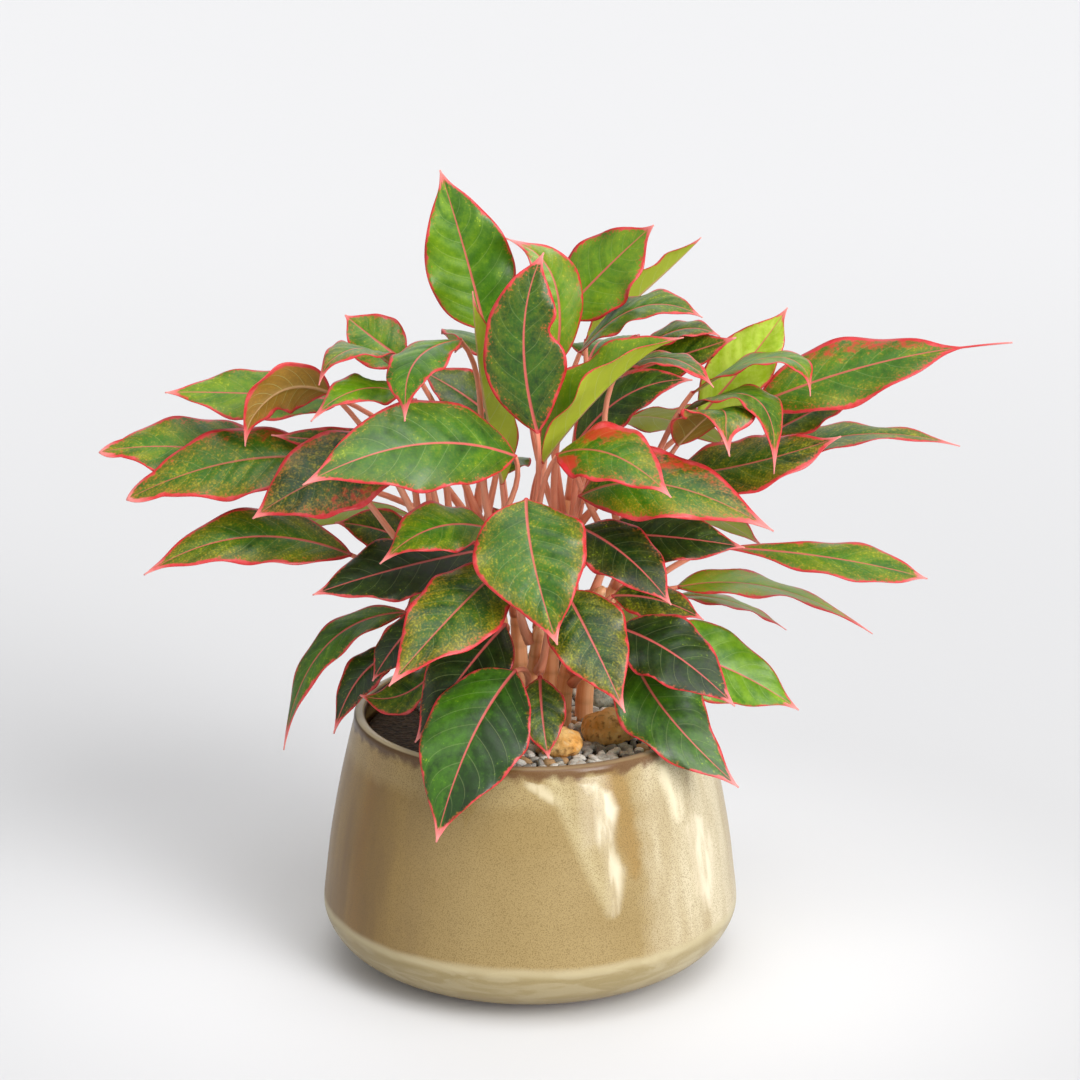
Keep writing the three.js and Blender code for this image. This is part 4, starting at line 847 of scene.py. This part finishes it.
def leaf_body(leaf, seed):
    """A leaf and its stalk as one closed skin, with its marks."""
    base, middle, tip = (sighted(place) for place in (leaf.base, leaf.mid, leaf.tip))
    midrib = (base, 2 * middle - base / 2 - tip / 2, tip)
    right, up_share, towards = leaf.face
    face = unit(np.array([right, 0, 0]) + SIGHT_UP * up_share - SIGHT_AHEAD * towards)
    sideways = unit(np.cross(tip - base, face))
    stalk = stalk_rings(leaf, midrib, sideways)
    stations = BACK_STATIONS if leaf.grown else FRONT_STATIONS
    shares = np.linspace(0, 1, stations + 1)[1:] ** 1.08
    spots, ways = quadratic(midrib, shares)
    side, up = across_frame(ways, sideways)
    q, size = ACROSS, len(ACROSS)
    jitter = np.random.default_rng(seed).uniform(0, 2 * math.pi, 3)
    left_half, right_half = (half_width(leaf, shares, s, jitter) for s in (-1, 1))
    length = np.linalg.norm(tip - base)
    fold = math.radians(leaf.fold)
    hook = np.array([leaf.hook[0], 0, 0]) + SIGHT_UP * leaf.hook[1] - SIGHT_AHEAD * leaf.hook[2]
    hooked = np.clip((shares - HOOK_START) / (1 - HOOK_START), 0, 1)**2
    shade, lean, flecks, blush = leaf.look
    rings = list(stalk)
    marks = {name: [np.zeros(2 * size)] * len(stalk) for name in MARKS}
    marks["share"] = [np.full(2 * size, i / STALK_STEPS) for i in range(len(stalk))]
    grain = [ring - ring.mean(0) + (seed * 7.0, 0, 0.5 * i) for i, ring in enumerate(stalk)]
    for i, s in enumerate(shares):
        half = np.where(q > 0, right_half[i], left_half[i])
        wave = WAVE * np.sin(WAVES * math.pi * s + 1.3 * q)
        ripple = RIPPLE * q**2 * np.sin(RIPPLES * math.pi * s + jitter[2] + 1.6 * np.sign(q))
        rise = np.abs(q) * math.sin(fold) + (wave + ripple - DROOP) * q**2
        vein = VEIN_PAIRS * (s - VEIN_SLANT * np.abs(q) - VEIN_ARCH * np.abs(q)**3) + 0.5 * (q < 0)
        swell = 4 * np.abs(q) * (1 - np.abs(q)) * min(1, 6 * s * (1 - s)) * half / QUILTED_HALF
        rise_mm = rise * half - QUILTING * swell * np.cos(2 * math.pi * (vein - 0.5))
        rib_mm = q * half
        groove = GROOVE_DEPTH * (1 - s) * np.exp(-(rib_mm / GROOVE_WIDTH)**2)
        rib = RIB_DEPTH * (1 - s) * np.exp(-(rib_mm / RIB_WIDTH)**2)
        thick = BLADE_THICKNESS - EDGE_THINNING * q**2
        lift = np.where(q[:, None] == 0, up[i],
                        up[i] * math.cos(fold) - np.sign(q)[:, None] * side[i] * math.sin(fold))
        middle_line = (spots[i] + hook * hooked[i] + side[i] * (rib_mm * math.cos(fold))[:, None]
                       + up[i] * rise_mm[:, None])
        upper = middle_line + lift * (thick - groove)[:, None]
        lower = middle_line - lift * (thick + rib)[:, None]
        rings.append(np.vstack([upper, lower[::-1]]))
        red = np.full(size, float(blush))
        for patch_side, share, reach, strength in leaf.patches:
            near = ((s - share) / reach)**2 + ((q - 0.75 * patch_side) / 0.45)**2
            red += strength * np.exp(-near)
        # The shade is lighter on one half by lean, which on some leaves is a painted sheen.
        both = {"edge_mm": (1 - np.abs(q)) * half, "rib_mm": rib_mm, "share": np.full(size, s),
                "vein": vein, "shade": shade + lean * np.tanh(3 * q),
                "flecks": np.full(size, flecks), "blush": red}
        for name, value in both.items():
            marks[name].append(np.concatenate([value, value[::-1]]))
        along = np.stack([np.full(size, s * length), rib_mm, np.full(size, seed * 37.0)], 1)
        grain.append(np.vstack([along, along[::-1]]))
    faces = skin(rings)
    slots = []
    for k in range(len(faces)):
        ring, place = divmod(k, 2 * size)
        on_stalk = ring < len(stalk) - 1 or k >= (len(rings) - 1) * 2 * size
        slots.append(STALK_SLOT if on_stalk else UPPER_SLOT if place < size else UNDER_SLOT)
    flat_marks = {name: np.concatenate(values) for name, values in marks.items()}
    return np.vstack(rings), faces, slots, flat_marks, np.vstack(grain)


def leaf_tissue(t, under):
    """The waxy skin of a living aglaonema leaf: satin greens with flecks, a flush, veins, a midrib
    and a margin, and a soft broad sheen. The underside is paler and duller, and browner where the
    leaf is flushed."""
    edge, rib, share, vein, shade, flecks, blush = (
        add(t, "ShaderNodeAttribute", attribute_name=name).outputs["Fac"] for name in MARKS)
    grain = add(t, "ShaderNodeAttribute", attribute_name="grain").outputs["Vector"]
    _, _, number = add(t, "ShaderNodeSeparateXYZ", [grain]).outputs
    across_veins, outwards = (
        add(t, "ShaderNodeMath", row, operation="MULTIPLY") for row in ((vein, 18), (rib, 0.6)))
    along_veins = add(t, "ShaderNodeCombineXYZ", [across_veins, outwards, number])
    # Patches of 20 mm that lie along the side veins, mottling of 6 mm and specks of 2 mm.
    patchy, mottle, specks = (add(t, "ShaderNodeTexNoise", row) for row in (
        (along_veins, 0.055, 2), (grain, 0.17, 3, 0.55), (grain, 0.56, 1)))
    near_edge, inland, tip = (add(t, "ShaderNodeMapRange", row) for row in (
        (edge, 20, 2, -0.1, 0.08), (edge, 2, 9, 0, 0.35 if under else 0.13), (share, 0.88, 1)))
    coarse = add(t, "ShaderNodeMath", [mottle, 0.7], operation="MULTIPLY")
    cluster = add(t, "ShaderNodeMath", [specks, 1.3, coarse], operation="MULTIPLY_ADD")
    spots = add(t, "ShaderNodeMath", [cluster, -1])
    spots = add(t, "ShaderNodeMath", [spots, blush], operation="MULTIPLY")
    off_rib = add(t, "ShaderNodeMath", [rib], operation="ABSOLUTE")
    weathered = add(t, "ShaderNodeMath", [flecks, blush], operation="MULTIPLY")
    weathered = add(t, "ShaderNodeMath", [weathered, 2], operation="POWER")
    # Weighted sums: the tone of the green, how dense the flecks are and how thick the veil, how far
    # a flush bleeds in, where it is solid, the midrib's narrowing and strength, and the margin.
    sums = []
    for total, parts in (
            (shade, ((patchy, 0.42), (mottle, 0.28), (specks, 0.1), (1, -0.4))),
            (near_edge, ((flecks, 0.36), (cluster, 1), (patchy, 0.5), (1, -0.33))),
            (cluster, ((patchy, 0.9), (near_edge, 2.5))),
            (edge, ((spots, -34),)),
            (blush, ((mottle, 1.6),)),
            (off_rib, ((share, 1.1),)),
            (0.9, ((weathered, -0.5),)),
            (edge, ((mottle, -4), (patchy, -6), (blush, -2.2), (tip, -2)))):
        for part, weight in parts:
            total = add(t, "ShaderNodeMath", [part, weight, total], operation="MULTIPLY_ADD")
        sums.append(total)
    tone, dense, veiled, depth, solid, beside, strength, ragged = sums
    fleck, veiled = (add(t, "ShaderNodeMapRange", row, interpolation_type=SOFT) for row in (
        (dense, 1.17, 1.5), (veiled, 1.05, 1.75)))
    veiled = add(t, "ShaderNodeMath", [veiled, flecks], operation="MULTIPLY")
    flushed = add(t, "ShaderNodeMath", [mottle, blush], operation="MULTIPLY")
    # Arched side veins, a little paler than the blade.
    wrapped = add(t, "ShaderNodeMath", [vein], operation="FRACT")
    wrapped = add(t, "ShaderNodeMath", [wrapped, -0.5])
    wrapped = add(t, "ShaderNodeMath", [wrapped], operation="ABSOLUTE")
    line = add(t, "ShaderNodeMapRange", [wrapped, 0.045, 0], interpolation_type=SOFT)
    line = add(t, "ShaderNodeMath", [line, inland], operation="MULTIPLY")
    pinker = add(t, "ShaderNodeMath", [mottle, patchy, tip], operation="MULTIPLY_ADD")
    pinker = add(t, "ShaderNodeMapRange", [pinker, 0.22, 1.25])
    veil, flush, red = (add(t, "ShaderNodeMix", row, data_type="RGBA") for row in (
        (flushed, "#80760C", "#8E3F14"), (patchy, "#98521A", "#B2352A"),
        (pinker, "#C4212A", "#EA8F88")))
    if under:
        brown = add(t, "ShaderNodeMapRange", [blush, 0.4, 0.95, 0, 0.9])
        pale = add(t, "ShaderNodeMix", [brown, "#ABB432", "#96591F"], data_type="RGBA")
        dulled, rib_colour, roughness = [(0.7, 0, 1, 1, pale, EVEN)], "#BE9468", 0.55
    else:
        rib_colour = add(t, "ShaderNodeMix", [weathered, "#CC5A55", "#A8552C"], data_type="RGBA")
        dulled, roughness = [], add(t, "ShaderNodeMapRange", [mottle, 0.3, 0.7, 0.33, 0.44])
    # The greens that these leaves run through, from deep ones in the shade to fresh lime.
    lifted = add(t, "ShaderNodeMath", [fleck, 0.22, tone], operation="MULTIPLY_ADD")
    greens = add(t, "ShaderNodeValToRGB", [lifted])
    set_stops(greens.color_ramp, [(place, linear(code)) for place, code in (
        (0, "#101F05"), (0.2, "#1C3A05"), (0.42, "#3D6C06"), (0.62, "#6B9307"), (0.85, "#97B41A"),
        (1, "#B9D04A"))])
    colour = layered(t, greens, [
        # Flecked leaves have a fine-grained olive and russet veil, and yellow flecks, both thicker
        # towards the margin.
        (veiled, 0, 1, 1, veil, EVEN), (fleck, 0, 1, 0.36, "#9DA010", EVEN),
        # An orange-brown flush bleeds inwards from the margin in specks, and some leaves have
        # patches of solid red.
        (depth, 3, -2.5, 0.85, flush, SOFT), (solid, 2.05, 2.55, 0.85, "#BA2A1C", SOFT),
        *dulled, (line, 0, 1, 1, "#B5C47C", EVEN),
        # The pink midrib, about 2.6 mm wide at the base and fading out near the tip.
        (beside, 1.75, 0.85, strength, rib_colour, SOFT),
        # The red margin: 1.5 mm wide on plain leaves, up to 4 mm on flushed ones, pinker at the tip.
        (ragged, -3.4, -5, 0.95, red, SOFT)])
    relief = add(t, "ShaderNodeMath", [line, -2.5, mottle], operation="MULTIPLY_ADD")
    bump = add(t, "ShaderNodeBump", {"Strength": 0.3, "Distance": 0.0006, "Height": relief})
    return {"Base Color": colour, "Roughness": roughness, "IOR": 1.45,
            "Specular IOR Level": 0.5, "Normal": bump}


def fleshy_stem(t, low, high, scar):
    """Juicy flesh with a smooth skin, fine lengthwise streaks and darker scars."""
    share = add(t, "ShaderNodeAttribute", attribute_name="share").outputs["Fac"]
    grain = add(t, "ShaderNodeAttribute", attribute_name="grain").outputs["Vector"]
    streak = add(t, "ShaderNodeTexNoise", [grain, 0.35, 3])
    colour = layered(t, low, [(streak, 0.3, 0.7, 1, high, EVEN), (share, 0, 1, 0.4, scar, EVEN)])
    bump = add(t, "ShaderNodeBump", {"Strength": 0.15, "Distance": 0.0005, "Height": streak})
    return {"Base Color": colour, "Roughness": 0.42, "Normal": bump}


PLANT_MATERIALS = [
    new_material("waxy leaf, upper side", leaf_tissue, False),
    new_material("leaf underside", leaf_tissue, True),
    new_material("pink leaf stalk", fleshy_stem, "#DE8868", "#F2AC88", "#CC5648"),
    new_material("salmon cane", fleshy_stem, "#E89C66", "#FFC695", "#B9794C"),
]


def grow(name, bodies):
    """One piece made of the given bodies, with their marks stored on its points."""
    vertices, faces, slots, grain = [], [], [], []
    marks = {mark_name: [] for mark_name in MARKS}
    offset = 0
    for places, body_faces, body_slots, body_marks, body_grain in bodies:
        vertices.append(places)
        faces += [tuple(offset + v for v in reversed(f)) for f in body_faces]
        slots += body_slots
        grain.append(body_grain)
        for mark_name in MARKS:
            marks[mark_name].append(body_marks[mark_name])
        offset += len(places)
    piece = new_piece(name, np.vstack(vertices).tolist(), faces, PLANT_MATERIALS)
    piece.data.polygons.foreach_set("material_index", slots)
    for mark_name, values in marks.items():
        stored = piece.data.attributes.new(mark_name, "FLOAT", "POINT")
        stored.data.foreach_set("value", np.concatenate(values).astype(np.float32))
    stored = piece.data.attributes.new("grain", "FLOAT_VECTOR", "POINT")
    stored.data.foreach_set("vector", np.vstack(grain).astype(np.float32).ravel())
    return piece


ALL_LEAVES = LEAVES + HALF_HIDDEN_LEAVES + BACK_LEAVES
for cane in CANES:
    own = [i for i, leaf in enumerate(ALL_LEAVES) if leaf.cane == cane and leaf.grown]
    stem = grow("stem_" + cane, [cane_body(cane)] + [leaf_body(ALL_LEAVES[i], i + 1) for i in own])
    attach(stem, "root")
    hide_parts("cane_" + cane)

for i, leaf in enumerate(LEAVES):
    if not leaf.grown:
        blade = grow("blade_" + leaf.name, [leaf_body(leaf, i + 1)])
        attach(blade, "root")
        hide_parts("leaf_" + leaf.name)

# The studio: a plain pale floor that runs out of sight, and soft light from a wide bright surround:
# a tall window at the right front, a panel overhead, and weaker ones behind and at the left.
FLOOR_REACH = 30000.0


def studio_floor(t):
    """Matt pale grey paper, a little paler round the object, as a painted pool of light that offsets
    the object's shadow, and again far off.
    """
    place = add(t, "ShaderNodeTexCoord").outputs["Object"]
    reach = add(t, "ShaderNodeVectorMath", [place], operation="LENGTH").outputs["Value"]
    # Paler round the object: a painted pool of light over the object's shadow.
    colour = layered(t, "#C7C7C6", [
        (reach, 0.8, 3.5, 1, "#CECECD", SOFT), (reach, 0.6, 0.15, 1, "#DEDEDD", SOFT)])
    return {"Base Color": colour, "Roughness": 0.95, "Specular IOR Level": 0.1}


floor = new_piece("floor", [
    (-FLOOR_REACH, -FLOOR_REACH, 0), (FLOOR_REACH, -FLOOR_REACH, 0), (FLOOR_REACH, 2 * FLOOR_REACH, 0),
    (-FLOOR_REACH, 2 * FLOOR_REACH, 0)], [(0, 1, 2, 3)],
    [new_material("pale studio paper", studio_floor)], smooth=False)

# The surround's brightness, and each soft panel's direction, the angles in degrees at which it is
# full and at which it ends, and how bright it is.
SURROUND = 0.385
PANELS = [
    ((0.64, -0.76, 0.07), 5, 14, 9.6),
    ((0.62, -0.72, 0.32), 5, 14, 9.6),
    ((0.55, -0.61, 0.57), 6, 20, 7.7),
    ((0.17, -0.34, 0.92), 10, 34, 2.65),
    ((0.10, 0.75, 0.60), 15, 45, 1.1),
    ((-0.70, -0.60, 0.40), 15, 45, 0.55),
]


def soft_surround():
    """The light of the studio, as it comes from each side."""
    world = bpy.data.worlds.new("soft studio surround")
    world.use_nodes = True
    t = world.node_tree
    t.nodes.clear()
    way = add(t, "ShaderNodeTexCoord").outputs["Generated"]
    total = SURROUND
    for direction, full, end, power in PANELS:
        towards = add(t, "ShaderNodeVectorMath", [way, Vector(direction).normalized()],
                      operation="DOT_PRODUCT").outputs["Value"]
        outer, inner = (math.cos(math.radians(angle)) for angle in (end, full))
        panel = add(t, "ShaderNodeMapRange", [towards, outer, inner, 0, power],
                    interpolation_type=SOFT)
        total = add(t, "ShaderNodeMath", [total, panel])
    light = add(t, "ShaderNodeBackground", {"Color": "#FCFCFF", "Strength": total})
    add(t, "ShaderNodeOutputWorld", {"Surface": light})
    return world


bpy.context.scene.world = soft_surround()

# The camera: it looks down at the plant from where the photograph was taken, in a square frame that
# is 864 mm wide at the plant.
FRAME_WIDTH = 0.864
lens = bpy.data.cameras.new("camera")
lens.sensor_width = 36
lens.lens = 36 * SIGHT_DISTANCE * MM / FRAME_WIDTH
lens.clip_end = 200
camera = bpy.data.objects.new("camera", lens)
camera.location = (SIGHT_AIM - SIGHT_AHEAD * SIGHT_DISTANCE) * MM
camera.rotation_euler = (math.pi / 2 - SIGHT_PITCH, 0, 0)
bpy.context.scene.collection.objects.link(camera)
bpy.context.scene.camera = camera
bpy.context.scene.view_settings.view_transform = "Standard"
